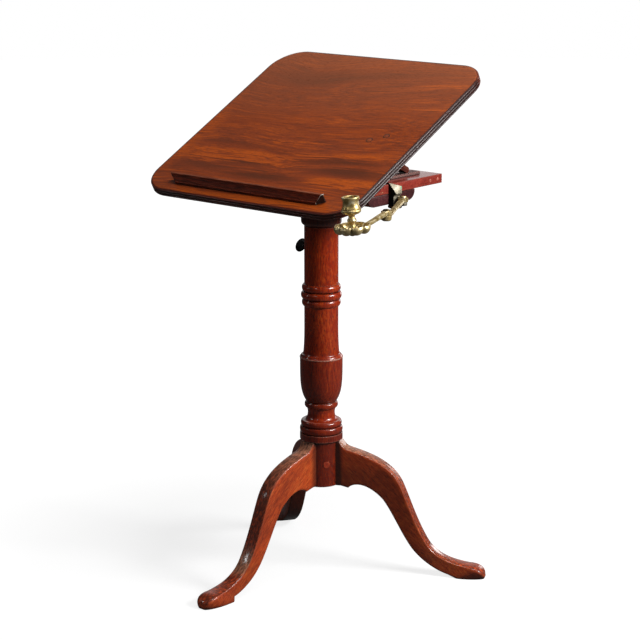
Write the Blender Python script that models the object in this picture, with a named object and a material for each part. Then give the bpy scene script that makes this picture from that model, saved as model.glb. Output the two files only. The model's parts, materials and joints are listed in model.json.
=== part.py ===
"""Tripod reading stand: turned column, sliding pole, swivelling head, rising board and candle arm.

Metres, +Z up. +X runs along the board's front edge to the reader's right, +Y away from the reader.
Each piece is built in the frame of the empty that carries it, so an empty sits on every joint's axis.
"""
import math

import bmesh
import bpy
from mathutils import Matrix, Vector

for item in list(bpy.data.objects):
    bpy.data.objects.remove(item, do_unlink=True)

# Fits
CLEARANCE = 0.0003
TURNED_SEGMENTS = 36
SMALL_SEGMENTS = 16

# Column, section by section from the hub upwards
HUB_BOTTOM = 0.1602
HUB_HEIGHT = 0.0848
HUB_RADIUS = 0.0315
DRUM_HEIGHT = 0.0125
DRUM_RADIUS = 0.039
LOWER_BEAD_HEIGHT = 0.013
UPPER_BEAD_HEIGHT = 0.0105
UPPER_BEAD_RADIUS = 0.0373
BEAD_QUIRK = 0.0035
CAVETTO_HEIGHT = 0.016
NECK_HEIGHT = 0.0075
NECK_RADIUS = 0.0245
ASTRAGAL_HEIGHT = 0.011
ASTRAGAL_RADIUS = 0.0304
VASE_HEIGHT = 0.083
VASE_RADIUS = 0.0387
SHOULDER_HEIGHT = 0.006
TAPER_HEIGHT = 0.05
TAPER_RADIUS = 0.0335
LOWER_SHAFT_HEIGHT = 0.0387
RING_HEIGHT = 0.0135
OUTER_RING_RADIUS = 0.035
MIDDLE_RING_RADIUS = 0.0367
UPPER_SHAFT_HEIGHT = 0.106
SHAFT_RADIUS = 0.0307

# Legs
LEG_ANGLE = 27.2
LEG_HALF_WIDTH = 0.0168
ANKLE_HALF_WIDTH = 0.0145
FOOT_HALF_WIDTH = 0.0185
TOE_HALF_WIDTH = 0.0145
LEG_SQUARENESS = 0.32
FOOT_REACH = 0.304
TONGUE_DEPTH = 0.012
TONGUE_ROOT_WIDTH = 0.008
TONGUE_TIP_WIDTH = 0.012
TONGUE_HEIGHT = 0.076

# Iron plate under the hub and the peg on the hub's face
SPIDER_THICKNESS = 0.002
SPIDER_ARM_LENGTH = 0.043
SPIDER_ARM_WIDTH = 0.014
SPIDER_SCREW_REACH = 0.037
PEG_RADIUS = 0.0053
PEG_LENGTH = 0.0095
PEG_PROUD = 0.002
PEG_HEIGHT_ON_HUB = 0.0425

# Pole and its clamp
POLE_RADIUS = 0.02
BORE_DEPTH = 0.31
POLE_END_GAP = 0.008
CLAMP_BELOW_TOP = 0.0428
BUSH_RADIUS = 0.006
BUSH_LENGTH = 0.0043
SHOE_LENGTH = 0.0038
SCREW_RADIUS = 0.0035
SCREW_LENGTH = 0.0145
THUMB_PLATE_LENGTH = 0.022
THUMB_PLATE_HEIGHT = 0.026
THUMB_PLATE_THICKNESS = 0.0034
THUMB_PLATE_TURN = -32.0

# Head
COLLAR_RADIUS = 0.0363
COLLAR_HEIGHT = 0.0556
COLLAR_ROUNDING = 0.008
BEARER_THICKNESS = 0.0184
BEARER_WIDTH = 0.1295
BEARER_OVOLO = 0.018
BEARER_FILLET = 0.003
BEARER_SCREW_SPACING = 0.22
BEARER_SCREW_ROWS = 0.06
SCREW_HEAD_RADIUS = 0.0045
SCREW_HEAD_HEIGHT = 0.002
SCREW_SHANK_RADIUS = 0.0022
SCREW_SHANK_LENGTH = 0.024
PLATFORM_WIDTH = 0.318
PLATFORM_THICKNESS = 0.0165
PLATFORM_BACK = 0.1435
PLATFORM_PLUG_RADIUS = 0.0028
PLATFORM_PLUG_DEPTH = 0.006
PLATFORM_PLUG_PLACES = (0.013, 0.034)
RAIL_DEPTH = 0.018
RAIL_LENGTH = 0.3
EDGE_BEVEL = 0.0008

# Hinges between the rail and the board
HINGE_Y = -0.1184
HINGE_SPACING = 0.19
HINGE_LENGTH = 0.044
HINGE_KNUCKLE = 0.016
HINGE_RADIUS = 0.0034
HINGE_PIN_RADIUS = 0.0015
HINGE_LEAF_THICKNESS = 0.0018
HINGE_LEAF_REACH = 0.022

# Reading board
TILT = 27.75
BOARD_WIDTH = 0.4735
BOARD_DEPTH = 0.451
BOARD_THICKNESS = 0.0152
BOARD_CORNER = 0.059
BOARD_OVERHANG = 0.1057
REED_COUNT = 3
REED_BULGE = 0.0018
BOARD_PLUG_RADIUS = 0.0045
BOARD_PLUG_DEPTH = 0.005
BOARD_PLUG_STEP_X = 0.0128
BOARD_PLUG_STEP_Y = 0.0083

# Horse, the folding strut, with its lugs and ratchets
HORSE_LENGTH = 0.11
HORSE_THICKNESS = 0.0114
STILE_WIDTH = 0.018
STILE_CENTRE = 0.124
HORSE_PIN_RADIUS = 0.0025
HORSE_RAIL_WIDTH = 0.016
UPPER_RAIL_PLACE = 0.026
LOWER_RAIL_PLACE = 0.086
LUG_WIDTH = 0.038
LUG_LENGTH = 0.034
RATCHET_HEIGHT = 0.0054
RATCHET_TOOTH = 0.011
RATCHET_TOOTH_DEPTH = 0.003
RATCHET_TEETH = 12
RATCHET_START = 0.1

# Book ledge
LEDGE_FROM_FRONT = 0.0211
LEDGE_DEPTH = 0.0114
LEDGE_HEIGHT = 0.0162
LEDGE_FRONT_LENGTH = 0.324
LEDGE_BACK_LENGTH = 0.35
LEDGE_TOP_WIDTH = 0.0035
LEDGE_FOOT_HEIGHT = 0.004
LEDGE_PEG_SPACING = 0.25
LEDGE_PEG_RADIUS = 0.0022
LEDGE_PEG_LENGTH = 0.013
LEDGE_PEG_SINK = 0.005

# Candle arm
BRACKET_WIDTH = 0.019
BRACKET_BACK = 0.015
BRACKET_LIP = 0.006
BRACKET_LIP_THICKNESS = 0.0024
BRACKET_PLATE = 0.0085
BRACKET_BELOW_BEARER = 0.0015
BRACKET_NOSE_DROP = 0.0205
BRACKET_NOSE_REACH = 0.0135
BRACKET_SHELF_RADIUS = 0.0072
BRACKET_SHELF_THICKNESS = 0.0061
BRACKET_SCREW_FROM_BACK = 0.0055
BRACKET_FOOT_RADIUS = 0.0122
BRACKET_FOOT_THICKNESS = 0.0045
BRACKET_FOOT_SPIGOT = 0.003
BRACKET_FOOT_SPIGOT_LENGTH = 0.005
ARM_ROOT_OUT = 0.0185
ARM_ROOT_Y = 0.008
ARM_EYE_RADIUS = 0.009
ARM_EYE_HEIGHT = 0.0075
ARM_BAR_WIDTH = 0.01
ARM_BAR_THICKNESS = 0.0066
ARM_PIN_RADIUS = 0.003
ARM_PIN_HEAD_RADIUS = 0.006
ARM_PIN_HEAD_HEIGHT = 0.0025
ROOT_LINK_LENGTH = 0.134
ROOT_LINK_ANGLE = -63.8
ROOT_LINK_DROP = 0.0072
OUTER_LINK_LENGTH = 0.1265
OUTER_LINK_ANGLE = -13.0
OUTER_LINK_DROP = 0.0125
PAN_LEAN = 4.0
PAN_LEAN_TURN = -63.0
PAN_RADIUS = 0.0302
PAN_FLOOR_RADIUS = 0.02
PAN_WALL = 0.0016
PAN_RISE = 0.006
PAN_LOBES = 8
PAN_LOBE_DEPTH = 0.0036
RIVET_RADIUS = 0.0022
SOCKET_HEIGHT = 0.051
SOCKET_FOOT_RADIUS = 0.0075
SOCKET_WAIST_RADIUS = 0.0032
SOCKET_KNOP_RADIUS = 0.0072
SOCKET_NECK_RADIUS = 0.005
SOCKET_BULGE_RADIUS = 0.016
SOCKET_CUP_RADIUS = 0.0123
SOCKET_RIM_RADIUS = 0.0138
CANDLE_BORE_RADIUS = 0.0105
CANDLE_BORE_DEPTH = 0.022

# Levels that follow from the sizes above
drum_bottom = HUB_BOTTOM + HUB_HEIGHT
lower_bead_bottom = drum_bottom + DRUM_HEIGHT
upper_bead_bottom = lower_bead_bottom + LOWER_BEAD_HEIGHT
cavetto_bottom = upper_bead_bottom + UPPER_BEAD_HEIGHT
neck_bottom = cavetto_bottom + CAVETTO_HEIGHT
astragal_bottom = neck_bottom + NECK_HEIGHT
vase_bottom = astragal_bottom + ASTRAGAL_HEIGHT
shoulder_bottom = vase_bottom + VASE_HEIGHT
taper_bottom = shoulder_bottom + SHOULDER_HEIGHT
lower_shaft_bottom = taper_bottom + TAPER_HEIGHT
rings_bottom = lower_shaft_bottom + LOWER_SHAFT_HEIGHT
upper_shaft_bottom = rings_bottom + 3 * RING_HEIGHT
column_top = upper_shaft_bottom + UPPER_SHAFT_HEIGHT
bore_floor = column_top - BORE_DEPTH
clamp_height = column_top - CLAMP_BELOW_TOP
collar_bottom = column_top + CLEARANCE
collar_top = collar_bottom + COLLAR_HEIGHT
bearer_bottom = collar_top + CLEARANCE
bearer_top = bearer_bottom + BEARER_THICKNESS
platform_bottom = bearer_top + CLEARANCE
platform_top = platform_bottom + PLATFORM_THICKNESS
ratchet_bottom = platform_top + CLEARANCE
ratchet_top = ratchet_bottom + RATCHET_HEIGHT
horse_level = ratchet_top + CLEARANCE + HORSE_THICKNESS / 2
board_underside = HORSE_THICKNESS / 2 + CLEARANCE
board_top = board_underside + BOARD_THICKNESS
board_front = -BOARD_OVERHANG
board_back = BOARD_DEPTH - BOARD_OVERHANG
ledge_back = board_front + LEDGE_FROM_FRONT + LEDGE_DEPTH
platform_side = PLATFORM_WIDTH / 2
leg_angles = {"leg_right": LEG_ANGLE, "leg_left": LEG_ANGLE + 120, "leg_front": LEG_ANGLE + 240}


def make_material(name, colour, roughness, metallic=0.0):
    material = bpy.data.materials.new(name)
    material.use_nodes = True
    shader = material.node_tree.nodes["Principled BSDF"]
    shader.inputs["Base Color"].default_value = (*colour, 1.0)
    shader.inputs["Roughness"].default_value = roughness
    shader.inputs["Metallic"].default_value = metallic
    material.diffuse_color = (*colour, 1.0)
    return material


BOARD_WOOD = ("board mahogany", (0.28, 0.085, 0.032), 0.35)
RED_WOOD = ("red mahogany", (0.23, 0.038, 0.014), 0.35)
DARK_WOOD = ("dark mahogany", (0.09, 0.022, 0.01), 0.45)
BRASS = ("cast brass", (0.42, 0.31, 0.10), 0.35, 1.0)
IRON = ("black iron", (0.02, 0.02, 0.022), 0.5, 1.0)


def add_empty(name, parent, location=(0, 0, 0), turn=(0, 0, 0)):
    empty = bpy.data.objects.new(name, None)
    bpy.context.scene.collection.objects.link(empty)
    empty.parent = parent
    empty.location = location
    empty.rotation_euler = [math.radians(angle) for angle in turn]
    return empty


def add_mesh(name, bm, finish, parent, smooth_angle=35):
    """One named object with its own material, closed and with its faces pointing out."""
    bmesh.ops.remove_doubles(bm, verts=bm.verts, dist=1e-6)
    bmesh.ops.recalc_face_normals(bm, faces=bm.faces)
    mesh = bpy.data.meshes.new(name)
    bm.to_mesh(mesh)
    bm.free()
    mesh.shade_smooth()
    mesh.set_sharp_from_angle(angle=math.radians(smooth_angle))
    piece = bpy.data.objects.new(name, mesh)
    bpy.context.scene.collection.objects.link(piece)
    piece.parent = parent
    if finish:
        base, *values = finish
        mesh.materials.append(make_material(f"{base} {name}", *values))
    return piece


def add_tool(name, bm, parent):
    """A hidden shape that only cuts or joins."""
    tool = add_mesh(name, bm, None, parent)
    tool.hide_render = True
    tool.display_type = 'WIRE'
    return tool


def boolean(piece, tool, operation):
    modifier = piece.modifiers.new(f"{operation} {tool.name}", 'BOOLEAN')
    modifier.operation = operation
    modifier.object = tool


def bevel(piece, width, segments=2):
    modifier = piece.modifiers.new("eased edges", 'BEVEL')
    modifier.width = width
    modifier.segments = segments
    modifier.limit_method = 'ANGLE'
    modifier.angle_limit = math.radians(40)


def loft(rings, closed_ends=True):
    """Quads between rings of points with equal counts, ends closed by flat faces."""
    bm = bmesh.new()
    loops = [[bm.verts.new(point) for point in ring] for ring in rings]
    count = len(loops[0])
    for lower, upper in zip(loops, loops[1:]):
        for i in range(count):
            j = (i + 1) % count
            bm.faces.new((lower[i], lower[j], upper[j], upper[i]))
    if closed_ends:
        bm.faces.new(list(reversed(loops[0])))
        bm.faces.new(loops[-1])
    return bm


def turned(profile, segments=TURNED_SEGMENTS):
    """A solid of revolution about Z from (radius, height) points that start and end on the axis."""
    bm = bmesh.new()
    rings = []
    for radius, height in profile:
        if radius < 1e-9:
            rings.append([bm.verts.new((0, 0, height))])
            continue
        ring = []
        for i in range(segments):
            angle = 2 * math.pi * i / segments
            ring.append(bm.verts.new((radius * math.cos(angle), radius * math.sin(angle), height)))
        rings.append(ring)
    for first, second in zip(rings, rings[1:]):
        for i in range(segments):
            j = (i + 1) % segments
            corners = [first[i % len(first)], first[j % len(first)]]
            corners += [second[j % len(second)], second[i % len(second)]]
            bm.faces.new(list(dict.fromkeys(corners)))
    return bm


def cylinder(radius, bottom, top, segments=SMALL_SEGMENTS, centre=(0, 0)):
    bm = turned([(0, bottom), (radius, bottom), (radius, top), (0, top)], segments)
    bmesh.ops.translate(bm, verts=bm.verts, vec=(centre[0], centre[1], 0))
    return bm


def box(low, high):
    bm = bmesh.new()
    bmesh.ops.create_cube(bm, size=1)
    size = [b - a for a, b in zip(low, high)]
    middle = [(a + b) / 2 for a, b in zip(low, high)]
    bmesh.ops.scale(bm, verts=bm.verts, vec=size)
    bmesh.ops.translate(bm, verts=bm.verts, vec=middle)
    return bm


def prism(outline, start, end, axis):
    """A closed outline of two coordinates, carried along the third axis from start to end."""
    places = {"x": lambda a, b, c: (c, a, b), "y": lambda a, b, c: (a, c, b), "z": lambda a, b, c: (a, b, c)}
    place = places[axis]
    return loft([[place(a, b, c) for a, b in outline] for c in (start, end)])


def along_x(bm):
    """Turns a shape built along Z so that it lies along X."""
    bmesh.ops.rotate(bm, verts=bm.verts, matrix=Matrix.Rotation(math.radians(90), 3, 'Y'))
    return bm


def moved(bm, offset):
    bmesh.ops.translate(bm, verts=bm.verts, vec=offset)
    return bm


def turned_about_z(bm, degrees):
    bmesh.ops.rotate(bm, verts=bm.verts, matrix=Matrix.Rotation(math.radians(degrees), 3, 'Z'))
    return bm


def bezier(points, steps, include_start=True):
    """Points along a cubic curve, in any number of dimensions."""
    a, b, c, d = [Vector(point) for point in points]
    path = []
    for i in range(0 if include_start else 1, steps + 1):
        t = i / steps
        path.append(a * (1 - t) ** 3 + b * 3 * t * (1 - t) ** 2 + c * 3 * t * t * (1 - t) + d * t ** 3)
    return path


def bead(bottom, height, radius, quirk, steps=6):
    """Half-round turning: (radius, height) points from one quirk to the next."""
    points = []
    for i in range(steps + 1):
        angle = math.pi * i / steps
        points.append((radius - quirk + quirk * math.sin(angle), bottom + height * (1 - math.cos(angle)) / 2))
    return points


def arc(centre, radii, start, end, steps):
    points = []
    for i in range(steps + 1):
        angle = math.radians(start + (end - start) * i / steps)
        points.append((centre[0] + radii[0] * math.cos(angle), centre[1] + radii[1] * math.sin(angle)))
    return points


def screw_shape(growth=0.0):
    """A flat-headed screw along +Z with its head at z = 0; growth makes its hole, open below the head."""
    head = SCREW_HEAD_RADIUS + growth
    shank = SCREW_SHANK_RADIUS + growth
    start = -SCREW_HEAD_RADIUS if growth else 0.0
    neck = SCREW_HEAD_HEIGHT + growth
    tip = SCREW_SHANK_LENGTH + growth
    profile = [(0, start), (head, start), (head, neck), (shank, neck + head - shank), (shank, tip), (0, tip)]
    return turned(profile, SMALL_SEGMENTS)


def column_profile():
    """Outside of the column from top to bottom, after the bore for the pole."""
    bore = POLE_RADIUS + CLEARANCE
    points = [(0, bore_floor), (bore, bore_floor), (bore, column_top), (SHAFT_RADIUS, column_top)]
    outside = [(HUB_RADIUS, HUB_BOTTOM), (HUB_RADIUS, drum_bottom), (DRUM_RADIUS, drum_bottom)]
    outside += [(DRUM_RADIUS, lower_bead_bottom)]
    outside += bead(lower_bead_bottom, LOWER_BEAD_HEIGHT, DRUM_RADIUS, BEAD_QUIRK)
    outside += bead(upper_bead_bottom, UPPER_BEAD_HEIGHT, UPPER_BEAD_RADIUS, BEAD_QUIRK)
    flare = UPPER_BEAD_RADIUS - BEAD_QUIRK
    cavetto = [(flare, cavetto_bottom), (flare - (flare - NECK_RADIUS) * 0.8, cavetto_bottom)]
    cavetto += [(NECK_RADIUS, cavetto_bottom + CAVETTO_HEIGHT * 0.4), (NECK_RADIUS, neck_bottom)]
    outside += [tuple(p) for p in bezier(cavetto, 5, include_start=False)]
    outside += bead(astragal_bottom, ASTRAGAL_HEIGHT, ASTRAGAL_RADIUS, BEAD_QUIRK)
    vase_foot = ASTRAGAL_RADIUS - BEAD_QUIRK
    vase = [(vase_foot, vase_bottom), (VASE_RADIUS, vase_bottom + VASE_HEIGHT * 0.2)]
    vase += [(VASE_RADIUS, vase_bottom + VASE_HEIGHT * 0.45), (VASE_RADIUS, shoulder_bottom)]
    outside += [tuple(p) for p in bezier(vase, 7, include_start=False)]
    shoulder_drop = VASE_RADIUS - TAPER_RADIUS
    outside += arc((TAPER_RADIUS, shoulder_bottom), (shoulder_drop, SHOULDER_HEIGHT), 20, 90, 3)
    taper = [(TAPER_RADIUS, taper_bottom), (SHAFT_RADIUS + (TAPER_RADIUS - SHAFT_RADIUS) * 0.5, taper_bottom)]
    taper += [(SHAFT_RADIUS, taper_bottom + TAPER_HEIGHT * 0.5), (SHAFT_RADIUS, lower_shaft_bottom)]
    outside += [tuple(p) for p in bezier(taper, 4, include_start=False)]
    outside += [(SHAFT_RADIUS, rings_bottom)]
    for i, radius in enumerate((OUTER_RING_RADIUS, MIDDLE_RING_RADIUS, OUTER_RING_RADIUS)):
        outside += bead(rings_bottom + i * RING_HEIGHT, RING_HEIGHT, radius, OUTER_RING_RADIUS - SHAFT_RADIUS)
    outside += [(SHAFT_RADIUS, upper_shaft_bottom)]
    points += list(reversed(outside))
    return points + [(0, HUB_BOTTOM)]


def clean_profile(points):
    """Drops points that repeat the one before them."""
    kept = [points[0]]
    for point in points[1:]:
        if math.dist(point, kept[-1]) > 1e-6:
            kept.append(point)
    return kept


def dovetail(growth, bottom, top):
    """A dovetail prism along Z, wider at its inner end; growth opens it into a housing."""
    inner = HUB_RADIUS - TONGUE_DEPTH - growth
    outer = HUB_RADIUS + TONGUE_DEPTH / 6
    tip = TONGUE_TIP_WIDTH / 2 + growth
    root = TONGUE_ROOT_WIDTH / 2 + growth
    return prism([(inner, -tip), (outer, -root), (outer, root), (inner, tip)], bottom, top, "z")


def build_column(base):
    column = add_mesh("column", turned(clean_profile(column_profile())), RED_WOOD, base)
    for name, angle in leg_angles.items():
        housing = dovetail(CLEARANCE, HUB_BOTTOM - CLEARANCE, HUB_BOTTOM + TONGUE_HEIGHT + CLEARANCE)
        boolean(column, add_tool(f"housing {name}", turned_about_z(housing, angle), base), 'DIFFERENCE')
    peg_angle = LEG_ANGLE - 60
    peg_level = HUB_BOTTOM + PEG_HEIGHT_ON_HUB
    peg_inner = HUB_RADIUS + PEG_PROUD - PEG_LENGTH
    hole = along_x(cylinder(PEG_RADIUS + CLEARANCE, peg_inner - CLEARANCE, HUB_RADIUS + PEG_LENGTH))
    hole = turned_about_z(moved(hole, (0, 0, peg_level)), peg_angle)
    boolean(column, add_tool("hub peg hole", hole, base), 'DIFFERENCE')
    peg = along_x(cylinder(PEG_RADIUS, peg_inner, HUB_RADIUS + PEG_PROUD))
    peg = turned_about_z(moved(peg, (0, 0, peg_level)), peg_angle)
    bevel(add_mesh("hub_peg", peg, RED_WOOD, base), PEG_PROUD / 2)
    hole = along_x(cylinder(BUSH_RADIUS + CLEARANCE, -SHAFT_RADIUS - BUSH_LENGTH, -POLE_RADIUS + BUSH_LENGTH))
    boolean(column, add_tool("screw hole", moved(hole, (0, 0, clamp_height)), base), 'DIFFERENCE')


def on_leg(reach, share, level):
    """A place in a leg's plane: a share of the way from hub to toe, and a share of a level's height."""
    return (HUB_RADIUS + (FOOT_REACH - HUB_RADIUS) * reach, level * share)


def leg_edges(heel_cut):
    """Upper and lower edge of a leg as (reach, height) points, matched one to one; a cut heel leaves a step."""
    top = drum_bottom - 2 * CLEARANCE
    inside = HUB_RADIUS - TONGUE_DEPTH / 2
    shoulder = on_leg(0.0183, 1, top)
    cove_end = on_leg(0.0826, 0.943, top)
    knee = on_leg(0.437, 0.6955, top)
    ankle = on_leg(0.613, 0.262, top)
    instep = on_leg(0.9, 0.1, top)
    toe = on_leg(1, 0.036, top)
    upper = [Vector((inside, top)), Vector(shoulder)]
    for start, first, second, end, steps in (
            (shoulder, (0.033, 0.9816), (0.0459, 0.953), cove_end, 4),
            (cove_end, (0.196, 0.9075), (0.363, 0.8613), knee, 9),
            (knee, (0.481, 0.591), (0.5376, 0.397), ankle, 6),
            (ankle, (0.664, 0.1657), (0.758, 0.1207), instep, 6),
            (instep, (0.972, 0.097), (1.004, 0.08), toe, 5)):
        upper += bezier([start, on_leg(*first, top), on_leg(*second, top), end], steps, False)
    seat = HUB_BOTTOM + CLEARANCE
    flat_end = (SPIDER_ARM_LENGTH + SPIDER_THICKNESS, seat)
    cusp = on_leg(0.0807, 0.975, seat)
    arch_end = on_leg(0.3174, 0.866, seat)
    shin_end = on_leg(0.5156, 0.3115, seat)
    heel = on_leg(0.7615, 0.053, seat)
    lower = [Vector((inside, seat)), Vector(on_leg(0.0183, 1, seat)), Vector(flat_end)]
    for start, first, second, end, steps in (
            (flat_end, (0.0642, 1), (0.0752, 0.994), cusp, 3),
            (cusp, (0.1046, 1.031), (0.2, 1.0717), arch_end, 9),
            (arch_end, (0.391, 0.698), (0.435, 0.4985), shin_end, 6),
            (shin_end, (0.567, 0.2056), (0.6367, 0.09), heel, 6)):
        lower += bezier([start, on_leg(*first, seat), on_leg(*second, seat), end], steps, False)
    lower.append(Vector(on_leg(0.769, -0.0093, seat) if heel_cut else on_leg(0.794, 0.0235, seat)))
    for reach in (0.831, 0.89, 0.943):
        lower.append(Vector(on_leg(reach, -0.0093, seat)))
    lower.append(Vector(on_leg(0.976, 0.006, seat)))
    return upper, lower


def leg_half_width(share):
    """Half of a leg's width, from hub (0) to toe (1): tapers to the ankle and swells into the pad."""
    stations = [(0.0, LEG_HALF_WIDTH), (0.7, ANKLE_HALF_WIDTH)]
    stations += [(0.92, FOOT_HALF_WIDTH), (1.0, TOE_HALF_WIDTH)]
    for (start, narrow), (end, wide) in zip(stations, stations[1:]):
        if share <= end:
            t = (share - start) / (end - start)
            return narrow + (wide - narrow) * t * t * (3 - 2 * t)
    return TOE_HALF_WIDTH


def leg_section(upper, lower, half_width):
    """A section with softened corners between the two edges; the sole is flattened on the floor."""
    points = []
    count = 16
    for i in range(count):
        angle = 2 * math.pi * (i + 0.5) / count
        across = math.copysign(abs(math.cos(angle)) ** LEG_SQUARENESS, math.cos(angle)) * half_width
        along = math.copysign(abs(math.sin(angle)) ** LEG_SQUARENESS, math.sin(angle)) * 0.5 + 0.5
        reach, height = lower + (upper - lower) * along
        points.append((reach, across, max(height, 0.0)))
    return points


def build_legs(base):
    for number, (name, angle) in enumerate(leg_angles.items(), 1):
        upper, lower = leg_edges(name == "leg_front")
        last = len(upper) - 1
        rings = [leg_section(u, v, leg_half_width(i / last)) for i, (u, v) in enumerate(zip(upper, lower))]
        leg = add_mesh(name, turned_about_z(loft(rings), angle), RED_WOOD, base, 50)
        hub = cylinder(HUB_RADIUS + CLEARANCE, HUB_BOTTOM - HUB_RADIUS, drum_bottom, TURNED_SEGMENTS)
        boolean(leg, add_tool(f"hub seat {name}", hub, base), 'DIFFERENCE')
        tongue = dovetail(0, HUB_BOTTOM + CLEARANCE, HUB_BOTTOM + TONGUE_HEIGHT)
        boolean(leg, add_tool(f"tongue {name}", turned_about_z(tongue, angle), base), 'UNION')
        turn = math.radians(angle)
        place = (SPIDER_SCREW_REACH * math.cos(turn), SPIDER_SCREW_REACH * math.sin(turn))
        place = (*place, HUB_BOTTOM - CLEARANCE - SPIDER_THICKNESS)
        hole = add_tool(f"spider screw hole {number}", moved(screw_shape(CLEARANCE), place), base)
        boolean(leg, hole, 'DIFFERENCE')
        add_mesh(f"spider_screw_{number}", moved(screw_shape(), place), IRON, base)


def build_spider_plate(base):
    """Three-armed iron plate in one outline, an arm under each leg."""
    top = HUB_BOTTOM - CLEARANCE
    half = SPIDER_ARM_WIDTH / 2
    middle = SPIDER_ARM_WIDTH
    edge = math.degrees(math.asin(half / middle))
    outline = []
    for angle in leg_angles.values():
        turn = Matrix.Rotation(math.radians(angle), 2)
        outline += [tuple(turn @ Vector((SPIDER_ARM_LENGTH, side))) for side in (-half, half)]
        outline += arc((0, 0), (middle, middle), angle + edge, angle + 120 - edge, 5)
    plate = add_mesh("spider_plate", prism(outline, top - SPIDER_THICKNESS, top, "z"), IRON, base)
    for number in range(1, len(leg_angles) + 1):
        boolean(plate, bpy.data.objects[f"spider screw hole {number}"], 'DIFFERENCE')


def build_clamp(base):
    """Thumbscrew on the column's left, lying along X, with its brass bush and the shoe it presses."""
    axis = add_empty("screw_axis", base, (0, 0, clamp_height))
    wall_face = -math.sqrt(SHAFT_RADIUS ** 2 - BUSH_RADIUS ** 2)
    bush_outer = wall_face - CLEARANCE
    bush_inner = bush_outer + BUSH_LENGTH
    bush = add_mesh("screw_bush", along_x(cylinder(BUSH_RADIUS, bush_outer, bush_inner)), BRASS, axis)
    bore = along_x(cylinder(SCREW_RADIUS + CLEARANCE, bush_outer - BUSH_LENGTH, bush_inner + BUSH_LENGTH))
    boolean(bush, add_tool("bush bore", bore, axis), 'DIFFERENCE')
    shoe_face = -POLE_RADIUS - CLEARANCE
    shoe = along_x(cylinder(BUSH_RADIUS, shoe_face - SHOE_LENGTH, shoe_face))
    bevel(add_mesh("clamp_shoe", shoe, DARK_WOOD, axis), CLEARANCE)
    tip = shoe_face - SHOE_LENGTH - CLEARANCE
    head = tip - SCREW_LENGTH
    screw = add_mesh("thumbscrew", along_x(cylinder(SCREW_RADIUS, head, tip)), IRON, axis)
    collar = along_x(cylinder(SCREW_RADIUS * 1.5, head - SCREW_RADIUS / 2, head + SCREW_RADIUS / 2))
    boolean(screw, add_tool("thumbscrew collar", collar, axis), 'UNION')
    radii = (THUMB_PLATE_LENGTH / 2, THUMB_PLATE_HEIGHT / 2)
    middle = head - radii[0] + SCREW_RADIUS / 2
    outline = arc((middle, 0), radii, 0, 360, 24)[:-1]
    plate = prism(outline, -THUMB_PLATE_THICKNESS / 2, THUMB_PLATE_THICKNESS / 2, "y")
    turn = Matrix.Rotation(math.radians(THUMB_PLATE_TURN), 3, 'X')
    bmesh.ops.rotate(plate, verts=plate.verts, matrix=turn)
    boolean(screw, add_tool("thumb plate", plate, axis), 'UNION')


def build_pole(base):
    lift = add_empty("pole_lift", base)
    bottom = bore_floor + POLE_END_GAP
    top = bearer_bottom - CLEARANCE
    pole = cylinder(POLE_RADIUS, bottom, top, TURNED_SEGMENTS)
    bevel(add_mesh("pole", pole, DARK_WOOD, lift), EDGE_BEVEL)
    return lift


def build_collar(head):
    bore = POLE_RADIUS + CLEARANCE
    rounding = COLLAR_ROUNDING
    foot = arc((COLLAR_RADIUS - rounding, collar_bottom + rounding), (rounding, rounding), 0, -90, 5)
    ring = [(bore, collar_bottom), (bore, collar_top), (COLLAR_RADIUS, collar_top)] + foot
    bm = bmesh.new()
    loops = []
    for i in range(TURNED_SEGMENTS):
        turn = Matrix.Rotation(2 * math.pi * i / TURNED_SEGMENTS, 3, 'Z')
        loops.append([bm.verts.new(turn @ Vector((radius, 0, height))) for radius, height in ring])
    for i in range(TURNED_SEGMENTS):
        near, far = loops[i], loops[(i + 1) % TURNED_SEGMENTS]
        for j in range(len(ring)):
            k = (j + 1) % len(ring)
            bm.faces.new((near[j], near[k], far[k], far[j]))
    add_mesh("collar", bm, DARK_WOOD, head)


def build_bearer_and_platform(head):
    half = BEARER_WIDTH / 2
    flat = half - BEARER_OVOLO
    side = bearer_top - BEARER_FILLET
    drop = BEARER_THICKNESS - BEARER_FILLET
    right = arc((flat, side), (BEARER_OVOLO, drop), 0, -90, 6)
    left = [(-y, z) for y, z in reversed(right)]
    outline = [(half, bearer_top)] + right + left + [(-half, bearer_top)]
    bearer = add_mesh("bearer", prism(outline, -platform_side, platform_side, "x"), DARK_WOOD, head)
    front = HINGE_Y + CLEARANCE
    low = (-platform_side, front, platform_bottom)
    platform = add_mesh("platform", box(low, (platform_side, PLATFORM_BACK, platform_top)), RED_WOOD, head)
    bevel(platform, EDGE_BEVEL)
    number = 0
    for x in (-BEARER_SCREW_SPACING / 2, BEARER_SCREW_SPACING / 2):
        for y in (-BEARER_SCREW_ROWS / 2, BEARER_SCREW_ROWS / 2):
            number += 1
            place = (x, y, bearer_bottom + CLEARANCE)
            hole = add_tool(f"bearer screw hole {number}", moved(screw_shape(CLEARANCE), place), head)
            boolean(bearer, hole, 'DIFFERENCE')
            boolean(platform, hole, 'DIFFERENCE')
            add_mesh(f"bearer_screw_{number}", moved(screw_shape(), place), IRON, head)
    level = (platform_bottom + platform_top) / 2
    for number, from_back in enumerate(PLATFORM_PLUG_PLACES, 1):
        offset = (platform_side, PLATFORM_BACK - from_back, level)
        bore = PLATFORM_PLUG_RADIUS + CLEARANCE
        hole = cylinder(bore, -PLATFORM_PLUG_DEPTH - CLEARANCE, PLATFORM_PLUG_DEPTH, 12)
        tool = add_tool(f"platform plug hole {number}", moved(along_x(hole), offset), head)
        boolean(platform, tool, 'DIFFERENCE')
        plug = cylinder(PLATFORM_PLUG_RADIUS, -PLATFORM_PLUG_DEPTH, 0, 12)
        add_mesh(f"platform_plug_{number}", moved(along_x(plug), offset), BOARD_WOOD, head)


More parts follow.
